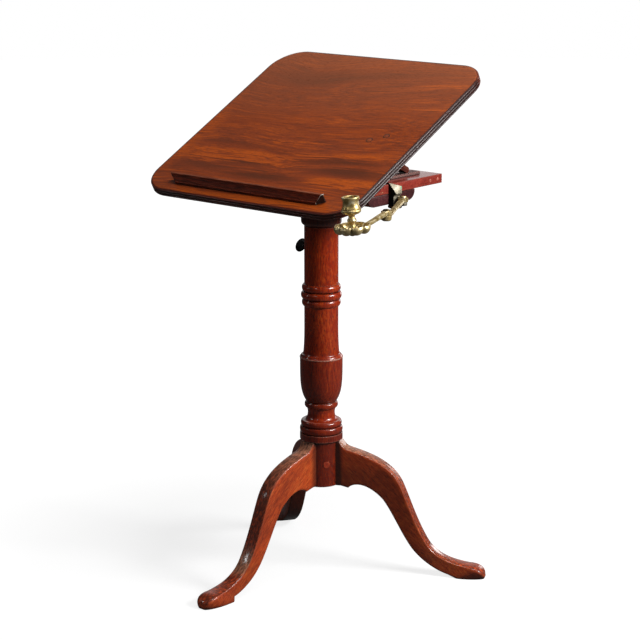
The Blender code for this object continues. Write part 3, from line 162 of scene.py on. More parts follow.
def mahogany(name, dark, mid, light, worn_and_lit, streak=(0.035, 0.0032), contrast=1.0, ribbon=0.35, flecks=0.5,
             stain=0.35, gloss=0.3, coat=0.15, shine=0.5, dulled=False, figure=()):
    """Old mahogany under hand-polished shellac: ribbons of colour, fine streaks, short dark pores, black wax and
    painted shade in the corners and between parts, and edges polished back to paler wood. The soil attribute asks
    for speckled dark polish; a second attribute asks, above zero, for paler handled wood and painted highlights, and
    below zero for black dirt and painted shade; the dull attribute, where a piece is dulled, asks for a dead polish.
    Figure lists soft clouds as (x, y, half length, half width, tone) in the plank."""
    material, tree, shader = new_finish(name)
    start = node(tree, "ShaderNodeAttribute", attribute_name="grain").outputs["Vector"]
    # The grain wanders about 12 mm over a hand's length
    slow = node(tree, "ShaderNodeVectorMath", {0: start, 1: (1 / 0.26, 1 / 0.11, 1 / 0.11)}, operation='MULTIPLY')
    wander = node(tree, "ShaderNodeTexNoise", {"Vector": slow.outputs[0], "Scale": 1.0, "Detail": 1.0})
    centred = node(tree, "ShaderNodeVectorMath", {0: wander.outputs["Color"], 1: (0.5, 0.5, 0.5)},
                   operation='SUBTRACT')
    drift = node(tree, "ShaderNodeVectorMath", {0: centred.outputs[0], 1: (0.0, 0.05, 0.05), 2: start},
                 operation='MULTIPLY_ADD').outputs[0]
    if figure:
        # Round a fork in the tree the grain dips like a hammock, towards the back left of the board
        split = node(tree, "ShaderNodeSeparateXYZ", {0: drift}).outputs
        aside = node(tree, "ShaderNodeMath", {0: split["X"], 1: 1 / 0.1, 2: 0.11 / 0.1},
                     operation='MULTIPLY_ADD').outputs[0]
        aside = node(tree, "ShaderNodeMath", {0: aside, 1: aside, 2: 1.0}, operation='MULTIPLY_ADD').outputs[0]
        dip = node(tree, "ShaderNodeMapRange", {0: split["Y"], 1: 0.09, 2: 0.27, 3: 0.0, 4: 0.05},
                   interpolation_type='SMOOTHSTEP').outputs[0]
        dip = node(tree, "ShaderNodeMath", {0: dip, 1: aside}, operation='DIVIDE').outputs[0]
        raised = node(tree, "ShaderNodeMath", {0: split["Y"], 1: dip}, operation='ADD').outputs[0]
        drift = node(tree, "ShaderNodeCombineXYZ", {0: split["X"], 1: raised, 2: split["Z"]}).outputs[0]
    layers = {}
    # Layer, length along the plank and width across it in metres, detail; pores are drawn twice as coarse as real
    for layer, along, across, detail in (("ribbon", 0.4, 0.045, 2.0), ("streak", *streak, 4.0),
                                         ("pore", 0.009, 0.0012, 1.0), ("stain", 0.13, 0.06, 3.0),
                                         ("speck", 0.011, 0.004, 4.0)):
        scaled = node(tree, "ShaderNodeVectorMath", {0: drift, 1: (1 / along, 1 / across, 1 / across)},
                      operation='MULTIPLY')
        made = node(tree, "ShaderNodeTexNoise", {"Vector": scaled.outputs[0], "Scale": 1.0, "Detail": detail,
                                                 "Roughness": 0.6})
        layers[layer] = made.outputs["Fac"]
    tone = node(tree, "ShaderNodeMath", {0: layers["ribbon"], 1: ribbon}, operation='MULTIPLY').outputs[0]
    tone = node(tree, "ShaderNodeMath", {0: layers["streak"], 1: 1 - ribbon, 2: tone},
                operation='MULTIPLY_ADD').outputs[0]
    fibres = node(tree, "ShaderNodeMapRange", {0: layers["streak"], 1: 0.3, 2: 0.7, 3: 0.3, 4: 1.7}).outputs[0]
    feathered = node(tree, "ShaderNodeVectorMath", {0: layers["streak"], 1: (0.0, 0.04, 0.0), 2: drift},
                     operation='MULTIPLY_ADD').outputs[0]
    for x, y, length, width, depth in figure:
        shares, origin = (1 / length, 1 / width, 0.0), (-x / length, -(y + 0.02) / width, 0.0)
        near = node(tree, "ShaderNodeVectorMath", {0: feathered, 1: shares, 2: origin}, operation='MULTIPLY_ADD')
        near = node(tree, "ShaderNodeVectorMath", {0: near.outputs[0]}, operation='LENGTH').outputs["Value"]
        near = node(tree, "ShaderNodeMapRange", {0: near, 1: 0.2, 2: 1.3, 3: depth, 4: 0.0},
                    interpolation_type='SMOOTHSTEP').outputs[0]
        tone = node(tree, "ShaderNodeMath", {0: near, 1: fibres, 2: tone}, operation='MULTIPLY_ADD').outputs[0]
    wood = node(tree, "ShaderNodeValToRGB", {0: tone},
                [(0.5 - 0.16 / contrast, colour(dark)), (0.5, colour(mid)),
                 (0.5 + 0.13 / contrast, colour(light))]).outputs[0]
    pores = node(tree, "ShaderNodeMapRange", {0: layers["pore"], 1: 0.56, 2: 0.68}).outputs[0]
    share = node(tree, "ShaderNodeMath", {0: pores, 1: flecks}, operation='MULTIPLY').outputs[0]
    dots = node(tree, "ShaderNodeMapRange", {0: layers["speck"], 1: 0.62, 2: 0.7, 4: flecks * 0.6}).outputs[0]
    patches = node(tree, "ShaderNodeMapRange", {0: layers["stain"], 1: 0.5, 2: 0.75, 4: stain}).outputs[0]
    soil = node(tree, "ShaderNodeAttribute", attribute_name="soil").outputs["Fac"]
    speckled = node(tree, "ShaderNodeValToRGB", {0: layers["speck"]},
                    [(0.36, colour("#1f0d08")), (0.5, colour("#5a2314")), (0.66, colour(mid))]).outputs[0]
    wear_and_painted_light = node(tree, "ShaderNodeAttribute", attribute_name="wear_and_painted_light").outputs["Fac"]
    pale = node(tree, "ShaderNodeMapRange", {0: layers["speck"], 1: 0.38, 2: 0.6, 3: 0.3}).outputs[0]
    pale = node(tree, "ShaderNodeMath", {0: wear_and_painted_light, 1: pale}, operation='MULTIPLY', use_clamp=True).outputs[0]
    grime_and_shade = node(tree, "ShaderNodeMath", {0: wear_and_painted_light, 1: -1.0}, operation='MULTIPLY', use_clamp=True).outputs[0]
    edge = edge_share(tree, 0.002, 0.9, 0.45, 0.9)
    edge = node(tree, "ShaderNodeMath", {0: edge, 1: layers["streak"]}, operation='MULTIPLY').outputs[0]
    # Black wax and painted shade darken the corners and the places between parts
    corner_wax_and_shade = edge_share(tree, 0.008, 0.85, 0.35, 0.9, False)
    # From the wood up: pale dots, pores, old stain, soiled polish, handled places and painted highlights,
    # black dirt and painted shade, edges polished pale, wax and painted shade in the corners
    coats = [(dots, colour(light)), (share, colour(dark)), (patches, colour(dark)), (soil, speckled),
             (pale, colour(worn_and_lit)), (grime_and_shade, colour("#160706")), (edge, colour(worn_and_lit)), (corner_wax_and_shade, colour("#120605"))]
    if figure:
        # The back of the board is painted paler: a painted sheen
        painted_back_sheen = node(tree, "ShaderNodeMapRange", {0: split["Y"], 1: 0.12, 2: 0.345, 4: 0.32}).outputs[0]
        coats.insert(0, (painted_back_sheen, colour(worn_and_lit)))
    for amount, tint in coats:
        wood = node(tree, "ShaderNodeMix", {0: amount, 6: wood, 7: tint}, data_type='RGBA').outputs[2]
    tree.links.new(wood, shader.inputs["Base Color"])
    rough = node(tree, "ShaderNodeMath", {0: layers["stain"], 1: 0.2, 2: gloss - 0.1}, operation='MULTIPLY_ADD')
    rough = node(tree, "ShaderNodeMath", {0: share, 1: 0.2, 2: rough.outputs[0]}, operation='MULTIPLY_ADD')
    if dulled:
        dull = node(tree, "ShaderNodeAttribute", attribute_name="dull").outputs["Fac"]
        rough = node(tree, "ShaderNodeMath", {0: dull, 1: 0.3, 2: rough.outputs[0]}, operation='MULTIPLY_ADD')
        left = node(tree, "ShaderNodeMath", {0: dull, 1: -coat, 2: coat}, operation='MULTIPLY_ADD').outputs[0]
        tree.links.new(left, shader.inputs["Coat Weight"])
    else:
        shader.inputs["Coat Weight"].default_value = coat
    tree.links.new(rough.outputs[0], shader.inputs["Roughness"])
    height = node(tree, "ShaderNodeMath", {0: share, 1: -1.4, 2: layers["streak"]}, operation='MULTIPLY_ADD')
    bump = node(tree, "ShaderNodeBump", {"Strength": 0.07, "Distance": 0.0004, "Height": height.outputs[0]})
    tree.links.new(bump.outputs[0], shader.inputs["Normal"])
    shader.inputs["IOR"].default_value = 1.5
    shader.inputs["Specular IOR Level"].default_value = shine
    shader.inputs["Coat Roughness"].default_value = 0.12
    return material


def brass(name, dark="#957c48", mid="#c4aa6e", light="#f2e4bc", rough=0.28, marks=()):
    """Sand-cast brass, filed and handled for two centuries: part dulled by its own oxide, brown in the corners,
    bright on the edges, with a faint casting grain; marks are (place, radius, colour) spots."""
    material, tree, shader = new_finish(name)
    place = node(tree, "ShaderNodeTexCoord").outputs["Object"]
    mottle = node(tree, "ShaderNodeTexNoise", {"Vector": place, "Scale": 1 / 0.009, "Detail": 4.0}).outputs["Fac"]
    casting = node(tree, "ShaderNodeTexNoise", {"Vector": place, "Scale": 1 / 0.0011, "Detail": 2.0}).outputs["Fac"]
    metal = node(tree, "ShaderNodeValToRGB", {0: mottle},
                 [(0.32, colour(dark)), (0.52, colour(mid)), (0.7, colour(light))]).outputs[0]
    coats = [(edge_share(tree, 0.0014, 0.9, 0.4, 0.7), colour(light)),
             (edge_share(tree, 0.005, 0.7, 0.2, 0.85, False), colour("#2b200d"))]
    for centre, radius, tint in marks:
        away = node(tree, "ShaderNodeVectorMath", {0: place, 1: centre}, operation='DISTANCE').outputs["Value"]
        away = node(tree, "ShaderNodeMath", {0: mottle, 1: radius, 2: away}, operation='MULTIPLY_ADD').outputs[0]
        spot = node(tree, "ShaderNodeMapRange", {0: away, 1: radius * 1.2, 2: radius * 1.6, 3: 1.0, 4: 0.0})
        coats.append((spot.outputs[0], colour(tint)))
    for amount, tint in coats:
        metal = node(tree, "ShaderNodeMix", {0: amount, 6: metal, 7: tint}, data_type='RGBA').outputs[2]
    tree.links.new(metal, shader.inputs["Base Color"])
    polish = node(tree, "ShaderNodeMath", {0: mottle, 1: 0.2, 2: rough}, operation='MULTIPLY_ADD').outputs[0]
    tree.links.new(polish, shader.inputs["Roughness"])
    bump = node(tree, "ShaderNodeBump", {"Strength": 0.05, "Distance": 0.0003, "Height": casting})
    tree.links.new(bump.outputs[0], shader.inputs["Normal"])
    shader.inputs["Metallic"].default_value = 0.7
    return material


def black_iron(name):
    """Forged iron blacked by oil and age: almost black, a dull sheen, brown where it has begun to rust."""
    material, tree, shader = new_finish(name)
    place = node(tree, "ShaderNodeTexCoord").outputs["Object"]
    scale = node(tree, "ShaderNodeTexNoise", {"Vector": place, "Scale": 1 / 0.004, "Detail": 5.0}).outputs["Fac"]
    metal = node(tree, "ShaderNodeValToRGB", {0: scale},
                 [(0.35, colour("#141416")), (0.6, colour("#242426")), (0.78, colour("#3a2c24"))])
    edge = edge_share(tree, 0.0012, 0.85, 0.4, 0.5)
    metal = node(tree, "ShaderNodeMix", {0: edge, 6: metal.outputs[0], 7: colour("#5b5a5c")}, data_type='RGBA')
    tree.links.new(metal.outputs[2], shader.inputs["Base Color"])
    rough = node(tree, "ShaderNodeMath", {0: scale, 1: 0.4, 2: 0.22}, operation='MULTIPLY_ADD').outputs[0]
    tree.links.new(rough, shader.inputs["Roughness"])
    bump = node(tree, "ShaderNodeBump", {"Strength": 0.15, "Distance": 0.0003, "Height": scale})
    tree.links.new(bump.outputs[0], shader.inputs["Normal"])
    shader.inputs["Metallic"].default_value = 0.7
    return material


# Smoke and fire in the board: a smoky arch at the back left, flames across the front third
BOARD_FIGURE = [
    (-0.117, 0.316, 0.11, 0.03, -0.16), (0.02, 0.302, 0.12, 0.014, -0.11), (0.18, 0.264, 0.08, 0.012, 0.14),
    (0.21, 0.2, 0.06, 0.008, 0.1), (-0.072, 0.030, 0.22, 0.011, 0.2), (0.142, 0.050, 0.14, 0.010, 0.12),
    (-0.147, 0.057, 0.1, 0.007, -0.12), (0.112, 0.028, 0.11, 0.011, -0.2), (0.162, -0.007, 0.09, 0.016, -0.18),
    (0.0, -0.032, 0.1, 0.014, -0.17), (-0.152, -0.014, 0.09, 0.012, -0.12), (-0.087, 0.011, 0.18, 0.009, 0.2),
    (-0.067, 0.004, 0.07, 0.004, -0.22), (0.13, -0.036, 0.05, 0.013, 0.22), (0.2, -0.034, 0.06, 0.012, 0.22),
    (-0.227, 0.079, 0.03, 0.14, 0.1), (0.0, -0.095, 0.26, 0.014, 0.14), (0.0, 0.08, 0.08, 0.003, 0.16)]
BOARD_WOOD = mahogany("figured mahogany board", "#55250d", "#843611", "#b24e0c", "#b87450", streak=(0.11, 0.0026),
                      contrast=0.75, ribbon=0.25, stain=0.1, gloss=0.36, figure=BOARD_FIGURE)
EDGE_WOOD = mahogany("blackened reeded edge", "#200a06", "#4c1a10", "#68281a", "#5a2a1c", streak=(0.3, 0.03),
                     contrast=0.6, flecks=0.0, gloss=0.36, coat=0.0)
COLUMN_WOOD = mahogany("red mahogany column", "#43100a", "#9a2a0d", "#c6521c", "#e0b8a4", streak=(0.014, 0.0026),
                       contrast=0.6, flecks=0.8, gloss=0.28, coat=0.5, shine=0.3)
LEG_WOOD = mahogany("red mahogany legs", "#521a0c", "#bc471c", "#de7232", "#e6b894", streak=(0.016, 0.003),
                    contrast=0.55, flecks=0.65, stain=0.5, coat=0.8, shine=0.3, dulled=True)
PLATFORM_WOOD = mahogany("red stained mahogany", "#5a1812", "#93352a", "#ab4c3c", "#c08a76", contrast=0.7, coat=0.5)
DARK_WOOD = mahogany("darkened mahogany", "#140605", "#2c0e0a", "#48190f", "#6e3a26", contrast=0.8, gloss=0.32)
BEARER_WOOD = mahogany("purple brown bearer", "#220c0c", "#4a2022", "#643234", "#6e3a26", contrast=0.8, gloss=0.32)
COLLAR_WOOD = mahogany("dark red collar", "#260c08", "#5a2013", "#78331f", "#8a5038", contrast=0.8)
# The strips are painted the grey mauve of the sheen on the platform's top: a painted sheen
RATCHET_WOOD = mahogany("ratchet strips in painted sheen", "#4a2a26", "#6a443e", "#805850", "#a08078", gloss=0.5, coat=0.0)
HORSE_WOOD = mahogany("brown mahogany horse", "#240b07", "#4c1c12", "#66301f", "#8a5238", gloss=0.4)
LEDGE_WOOD = mahogany("dark red mahogany ledge", "#300e08", "#722713", "#8f381b", "#c59472", gloss=0.45,
                      coat=0.0, shine=0.15)
# The ledge's up-facing top takes a lighter copy of its finish: handled wood and painted light
LEDGE_TOP_WOOD = mahogany("rubbed top of the ledge", "#4e1e12", "#7c3a26", "#985036", "#c99472", gloss=0.45,
                          coat=0.0, shine=0.2)
END_WOOD = mahogany("dusty end grain", "#0d0807", "#170d0b", "#2a1a16", "#8a7a70", gloss=0.5)
CHIPPED_LIT_RIM_WOOD = mahogany("chipped rim with a painted highlight", "#8a7466", "#d8cabc", "#f2e9df", "#f2e6da", gloss=0.6)
BOARD_PLUG_WOOD = mahogany("plugs in the board", "#5a2410", "#853812", "#9a4a18", "#853812", gloss=0.5)
PLUG_RING_WOOD = mahogany("stained ring round a plug", "#2a1207", "#4a220c", "#5c2e12", "#4a220c", gloss=0.5)
PLUG_WOOD = mahogany("end grain plugs", "#86392b", "#a85444", "#b86a58", "#c08070", stain=0.2, gloss=0.5)
PEG_WOOD = mahogany("orange mahogany peg", "#6a1c0e", "#962f16", "#a8401c", "#b05a34", stain=0.1, gloss=0.4)
BRASS = brass("aged cast brass")
# A spot of verdigris sits on the far edge of the bracket, and a small dark spot is painted on one petal of the pan
BRACKET_BRASS = brass("verdigrised cast brass", "#6f6858", "#968e7c", "#c6beac", 0.5,
                      [(tuple(AXIS + Vector((PLATFORM_SIDE + 0.0125, 0.0112, 0.7243))), 0.0028, "#5f8a70")])
PAN_BRASS = brass("cast brass pan", marks=[(tuple(PAN @ Vector((-0.0034, -0.0262, 0.0004))), 0.0016, "#17100a")])
# Black brass is painted shade, for the bracket's faces turned from the light
SHADE_PAINTED_BRASS = brass("brass painted black for shade", "#0c0a08", "#17120c", "#2c2416", 0.4)
TARNISHED_BRASS = brass("tarnished brass", "#2a2113", "#4f4126", "#83703f")
IRON = black_iron("blackened iron")


def as_mesh(name, bm):
    """A mesh from a working shape, which is then let go."""
    mesh = bpy.data.meshes.new(name)
    bm.to_mesh(mesh)
    bm.free()
    return mesh


def placed(name, data):
    """An object in the scene that holds a mesh, a lamp or a camera."""
    made = bpy.data.objects.new(name, data)
    bpy.context.scene.collection.objects.link(made)
    return made


def settled(made, body, replaces):
    """Tells which body a piece rides on and which solids it takes the place of."""
    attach(made, body)
    if replaces:
        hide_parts(*replaces)
    return made


def piece(name, bm, material, body, replaces=(), grain=None, smooth=35):
    """Finishes a mesh that is already in place: merged, facing out, shaded, riding on its body."""
    bmesh.ops.remove_doubles(bm, verts=bm.verts, dist=1e-6)
    bmesh.ops.recalc_face_normals(bm, faces=bm.faces)
    mesh = as_mesh(name, bm)
    mesh.shade_smooth()
    mesh.set_sharp_from_angle(angle=math.radians(smooth))
    mesh.materials.append(material)
    if grain is not None:
        cut_from = mesh.attributes.new("grain", 'FLOAT_VECTOR', 'POINT')
        for spot, vertex in zip(cut_from.data, mesh.vertices):
            spot.vector = grain @ vertex.co
    return settled(placed(name, mesh), body, replaces)


def paint(made, layer, values):
    """Gives each point of a piece its value of an attribute that the finish reads."""
    made.data.attributes.new(layer, 'FLOAT', 'POINT').data.foreach_set("value", values)


def stepped(levels, place):
    """Straight lines between (place, value) pairs."""
    for (low, first), (high, second) in zip(levels, levels[1:]):
        if place <= high:
            return first + (second - first) * min(1.0, max(0.0, (place - low) / (high - low)))
    return levels[-1][1]


def moved(bm, home):
    """Carries a working shape from its home frame to the part's frame."""
    bmesh.ops.transform(bm, matrix=home, verts=bm.verts)
    return bm


def plank(direction, home, shift):
    """Grain matrix: from the part's frame to the plank that a piece was cut from."""
    return Matrix.Translation(shift) @ direction @ home.inverted()


def lathe(profile, segments, home):
    """Turns (radius, height) points about Z; a profile that leaves the axis open is closed on itself."""
    bm = bmesh.new()
    rings = []
    for radius, height in profile:
        if radius < 1e-7:
            rings.append([bm.verts.new((0, 0, height))])
            continue
        turns = [2 * math.pi * i / segments for i in range(segments)]
        rings.append([bm.verts.new((radius * math.cos(a), radius * math.sin(a), height)) for a in turns])
    pairs = list(zip(rings, rings[1:]))
    if len(rings[0]) > 1 and len(rings[-1]) > 1:
        pairs.append((rings[-1], rings[0]))
    for first, second in pairs:
        for i in range(segments):
            j = (i + 1) % segments
            corners = [first[i % len(first)], first[j % len(first)]]
            corners += [second[j % len(second)], second[i % len(second)]]
            corners = list(dict.fromkeys(corners))
            if len(corners) > 2:
                bm.faces.new(corners)
    return moved(bm, home)


def loft(rings, closed_ends=True):
    """A skin over rings that have the same number of points."""
    bm = bmesh.new()
    loops = [[bm.verts.new(point) for point in ring] for ring in rings]
    count = len(loops[0])
    for lower, upper in zip(loops, loops[1:]):
        for i in range(count):
            j = (i + 1) % count
            bm.faces.new((lower[i], lower[j], upper[j], upper[i]))
    if closed_ends:
        bm.faces.new(list(reversed(loops[0])))
        bm.faces.new(loops[-1])
    return bm


def eased(bm, width, segments=3, angle=30):
    """Rounds every edge that turns by more than the angle."""
    bmesh.ops.recalc_face_normals(bm, faces=bm.faces)
    sharp = [e for e in bm.edges if len(e.link_faces) == 2 and e.calc_face_angle(0) > math.radians(angle)]
    bmesh.ops.bevel(bm, geom=sharp, offset=width, offset_type='OFFSET', segments=segments, profile=0.5,
                    affect='EDGES', clamp_overlap=True)
    return bm


def block(low, high, home, width=0.0012):
    """A planed block with eased edges, between two corners in its home frame."""
    low, high = Vector(low), Vector(high)
    corners = [(low.x, low.y), (high.x, low.y), (high.x, high.y), (low.x, high.y)]
    return moved(eased(loft([[(x, y, z) for x, y in corners] for z in (low.z, high.z)]), width), home)


def prism(outline, start, end, axis, home, width=0.0):
    """A closed outline of two coordinates carried along the third axis, x or z, with eased ends."""
    bm = loft([[(c, a, b) if axis == "x" else (a, b, c) for a, b in outline] for c in (start, end)])
    if width:
        eased(bm, width)
    return moved(bm, home)


def joined(*shapes):
    """Several closed shells in one mesh."""
    whole = shapes[0]
    for shape in shapes[1:]:
        mesh = as_mesh("shell", shape)
        whole.from_mesh(mesh)
        bpy.data.meshes.remove(mesh)
    return whole


def bezier(points, steps, include_start=True):
    """Points on a curve from the first of four points to the last, drawn by the two between."""
    a, b, c, d = [Vector(point) for point in points]
    path = []
    for i in range(0 if include_start else 1, steps + 1):
        t = i / steps
        path.append(a * (1 - t) ** 3 + b * 3 * t * (1 - t) ** 2 + c * 3 * t * t * (1 - t) + d * t ** 3)
    return path


def bead(bottom, height, radius, quirk, steps=14):
    """Half-round turning with a sunk line at its foot and at its top."""
    sunk, lift = radius - quirk - 0.0007, 0.0002
    points = [(sunk, bottom + lift)]
    for i in range(steps + 1):
        angle = math.pi * i / steps
        points.append((radius - quirk + quirk * math.sin(angle), bottom + height * (1 - math.cos(angle)) / 2))
    points.append((sunk, bottom + height - lift))
    return points


def arc(centre, radii, start, end, steps):
    """Points on part of an oval, between two angles in degrees."""
    points = []
    for i in range(steps + 1):
        angle = math.radians(start + (end - start) * i / steps)
        points.append((centre[0] + radii[0] * math.cos(angle), centre[1] + radii[1] * math.sin(angle)))
    return points


def smooth_profile(points, steps=4):
    """A curve through (radius, height) points."""
    points = [Vector(p) for p in points]
    path = [points[0]]
    for i in range(len(points) - 1):
        before, here = points[max(i - 1, 0)], points[i]
        there, after = points[i + 1], points[min(i + 2, len(points) - 1)]
        out, back = (there - before) / 6, (after - here) / 6
        path += bezier([here, here + out, there - back, there], steps, False)
    return [tuple(p) for p in path]


def screw_head(radius):
    """One slotted screw head along +Z, its face at z = 0."""
    profile = [(0, -0.0016), (radius * 0.5, -0.0016), (radius, -0.0004), (radius, -0.0001), (radius * 0.94, 0.0001)]
    reach, half = radius * 1.2, radius * 0.11
    bodies = []
    for name, shape in (("screw pattern", lathe(profile + [(0, 0.0002)], 24, HERE)),
                        ("screw slot", block((-reach, -half, -0.0008), (reach, half, 0.002), HERE, 0.0))):
        bmesh.ops.recalc_face_normals(shape, faces=shape.faces)
        bodies.append(placed(name, as_mesh(name, shape)))
    head, slot = bodies
    cut = head.modifiers.new("slot", 'BOOLEAN')
    cut.operation = 'DIFFERENCE'
    cut.object = slot
    mesh = bpy.data.meshes.new_from_object(head.evaluated_get(bpy.context.evaluated_depsgraph_get()))
    head.modifiers.clear()
    head.data = mesh
    bpy.data.objects.remove(slot)
    return head


def repeat_tree():
    """Geometry Nodes: sets a pattern piece on every point, facing the point's own way, with a seeded turn."""
    tree = bpy.data.node_groups.new("set on points", 'GeometryNodeTree')
    for name, kind in (("Points", 'NodeSocketGeometry'), ("Pattern", 'NodeSocketObject'),
                       ("Turn Spread", 'NodeSocketFloat'), ("Seed", 'NodeSocketInt'),
                       ("Finish", 'NodeSocketMaterial')):
        tree.interface.new_socket(name, in_out='INPUT', socket_type=kind)
    tree.interface.new_socket("Pieces", in_out='OUTPUT', socket_type='NodeSocketGeometry')
    inward = node(tree, "NodeGroupInput").outputs
    pattern = node(tree, "GeometryNodeObjectInfo", {"Object": inward["Pattern"]})
    facing = node(tree, "GeometryNodeInputNamedAttribute", {"Name": "facing"}, data_type='FLOAT_VECTOR')
    aligned = node(tree, "FunctionNodeAlignRotationToVector", {"Vector": facing.outputs[0]}, axis='Z')
    twist = node(tree, "FunctionNodeRandomValue", {2: 0.0, 3: inward["Turn Spread"], "Seed": inward["Seed"]},
                 data_type='FLOAT')
    about = node(tree, "ShaderNodeCombineXYZ", {"Z": twist.outputs[1]})
    local = node(tree, "FunctionNodeEulerToRotation", {0: about.outputs[0]})
    turned = node(tree, "FunctionNodeRotateRotation", {0: aligned.outputs[0], 1: local.outputs[0]},
                  rotation_space='LOCAL')
    copies = node(tree, "GeometryNodeInstanceOnPoints", {"Points": inward["Points"],
                                                         "Instance": pattern.outputs["Geometry"],
                                                         "Rotation": turned.outputs[0]})
    real = node(tree, "GeometryNodeRealizeInstances", {0: copies.outputs[0]})
    finished = node(tree, "GeometryNodeSetMaterial", {0: real.outputs[0], "Material": inward["Finish"]})
    node(tree, "NodeGroupOutput", {0: finished.outputs[0]})
    return tree


def repeated(name, tree, places, pattern, material, body, replaces=(), spread=0.0, seed=7):
    """One mesh of the pattern set on (place, direction) pairs in the part's frame."""
    mesh = bpy.data.meshes.new(name)
    mesh.from_pydata([tuple(place) for place, _ in places], [], [])
    facing = mesh.attributes.new("facing", 'FLOAT_VECTOR', 'POINT')
    for spot, (_, direction) in zip(facing.data, places):
        spot.vector = direction
    made = placed(name, mesh)
    modifier = made.modifiers.new("set on points", 'NODES')
    modifier.node_group = tree
    sockets = {item.name: item.identifier for item in tree.interface.items_tree if item.in_out == 'INPUT'}
    for socket, value in (("Pattern", pattern), ("Turn Spread", spread), ("Seed", seed), ("Finish", material)):
        modifier[sockets[socket]] = value
    bpy.context.view_layer.update()
    result = bpy.data.meshes.new_from_object(made.evaluated_get(bpy.context.evaluated_depsgraph_get()))
    made.modifiers.clear()
    made.data = result
    result.name = name
    return settled(made, body, replaces)


# Column, peg, pole and collar
def build_column():
    """Column in one turning, with the peg in its hub, the pole that slides in it and the collar above."""
    # Hub and drum
    outside = [(0, HUB_BOTTOM), (HUB_BELLY - 0.0008, HUB_BOTTOM), (HUB_BELLY, HUB_BOTTOM + 0.0008)]
    outside += [(HUB_BELLY, DRUM_BOTTOM), (DRUM_RADIUS - 0.0006, DRUM_BOTTOM + 0.0001)]
    outside += [(DRUM_RADIUS, DRUM_BOTTOM + 0.0008), (DRUM_RADIUS, 0.2566), (DRUM_RADIUS - 0.0006, 0.2573)]
    outside += bead(0.2575, 0.013, DRUM_RADIUS, 0.0035) + bead(0.2705, 0.0105, 0.0373, 0.0035)
    # Hollow neck with a ring
    flare, neck = 0.0338, 0.0245
    cavetto = [(flare, 0.281), (flare - (flare - neck) * 0.8, 0.281), (neck, 0.2874), (neck, 0.297)]
    outside += [tuple(p) for p in bezier(cavetto, 12)]
    outside += bead(0.3045, 0.011, 0.0304, 0.0035)
    # Vase, its lip, and the sweep from its shoulder to the shaft
    belly = 0.0387
    vase = [(0.0269, 0.3155), (belly, 0.3321), (belly, 0.35285), (belly, 0.3972)]
    outside += [tuple(p) for p in bezier(vase, 20)]
    outside += [(0.0391, 0.3975), (0.0393, 0.398), (0.0393, 0.3992), (0.0389, 0.3997), (0.0379, 0.4)]
    outside += arc((0.0335, 0.3995), (0.0042, 0.005), 12, 90, 8)
    sweep = [(0.0335, 0.4045), (0.0321, 0.4045), (SHAFT_RADIUS, 0.4295), (SHAFT_RADIUS, 0.4545)]
    outside += [tuple(p) for p in bezier(sweep, 10)]
    # Shaft with three rings, and the bore for the pole
    outside += [(SHAFT_RADIUS, 0.4931)]
    ring_height = 0.0135
    for i, radius in enumerate((0.035, 0.0367, 0.035)):
        outside += bead(0.4932 + i * ring_height, ring_height, radius, 0.0043)
    outside += [(SHAFT_RADIUS, 0.5338), (SHAFT_RADIUS, COLUMN_TOP - 0.0006), (SHAFT_RADIUS - 0.0006, COLUMN_TOP)]
    bore = POLE_RADIUS + FIT
    outside += [(bore, COLUMN_TOP), (bore, COLUMN_TOP - BORE_DEPTH), (0, COLUMN_TOP - BORE_DEPTH)]
    made = piece("column_turned", lathe(outside, 128, STAND), COLUMN_WOOD, "base", ["column"],
                 plank(ALONG_Z, STAND, (0.3, 0.02, 0.4)))
    # Darker on the hub, the drum and the vase; the pale line on the vase's shoulder is a painted highlight
    levels = [(0.2, -0.5), (0.245, -0.5), (0.2452, -0.4), (0.2575, -0.35), (0.26, -0.25), (0.28, -0.2), (0.285, 0.0)]
    levels += [(0.303, 0.0), (0.306, -0.15), (0.3165, -0.35), (0.38, -0.25), (0.3973, -0.15), (0.3979, 0.5)]
    levels += [(0.3994, 0.5), (0.3999, 0.0)]
    paint(made, "wear_and_painted_light", [stepped(levels, vertex.co.z) for vertex in made.data.vertices])
    between_legs = math.radians(LEG_ANGLES["leg_right"] - 60)
    facing = STAND @ Matrix.Rotation(between_legs, 4, 'Z') @ Matrix.Translation((0, 0, HUB_BOTTOM + 0.0425))
    peg = [(0, 0.024), (0.0062, 0.024), (0.0062, HUB_BELLY - 0.0002), (0.0058, HUB_BELLY + 0.0002)]
    peg += [(0.003, HUB_BELLY + 0.0003), (0, HUB_BELLY + 0.0003)]
    lying = facing @ Matrix.Rotation(math.radians(90), 4, 'Y')
    piece("hub_peg_domed", lathe(peg, 32, lying), PEG_WOOD, "base", ["hub_peg"], plank(ALONG_Z, lying, (1, 2, 3)))
    bottom, top = pole_low.z, pole_high.z
    rod = [(0, bottom), (0.0192, bottom), (POLE_RADIUS, bottom + 0.0008), (POLE_RADIUS, top), (0, top)]
    piece("pole_turned", lathe(rod, 96, STAND), DARK_WOOD, "pole", ["pole"], plank(ALONG_Z, STAND, (2, 0.3, 0)))
    ring = [(bore, 0.6956), (0.0363, 0.6956), (0.0363, 0.6785), (0.0358, 0.678), (0.0363, 0.6775)]
    ring += arc((0.0283, 0.648), (0.008, 0.008), 0, -90, 12) + [(bore, 0.64)]
    made = piece("collar_turned", lathe(ring, 96, STAND), COLLAR_WOOD, "head", ["collar"],
                 plank(ALONG_Z, STAND, (3, 0.7, 0)))
    # The collar is painted darker upwards, painted shade under the platform and board; its lower ring keeps its
    # brown
    levels = [(0.647, 0.0), (0.66, -0.3), (0.677, -0.6)]
    paint(made, "wear_and_painted_light", [stepped(levels, vertex.co.z) for vertex in made.data.vertices])


# Legs
def on_leg(reach, share, level):
    """A place in a leg's plane: a share of the way from hub to toe, and a share of a level's height."""
    return (HUB_RADIUS + (FOOT_REACH - HUB_RADIUS) * reach, level * share)


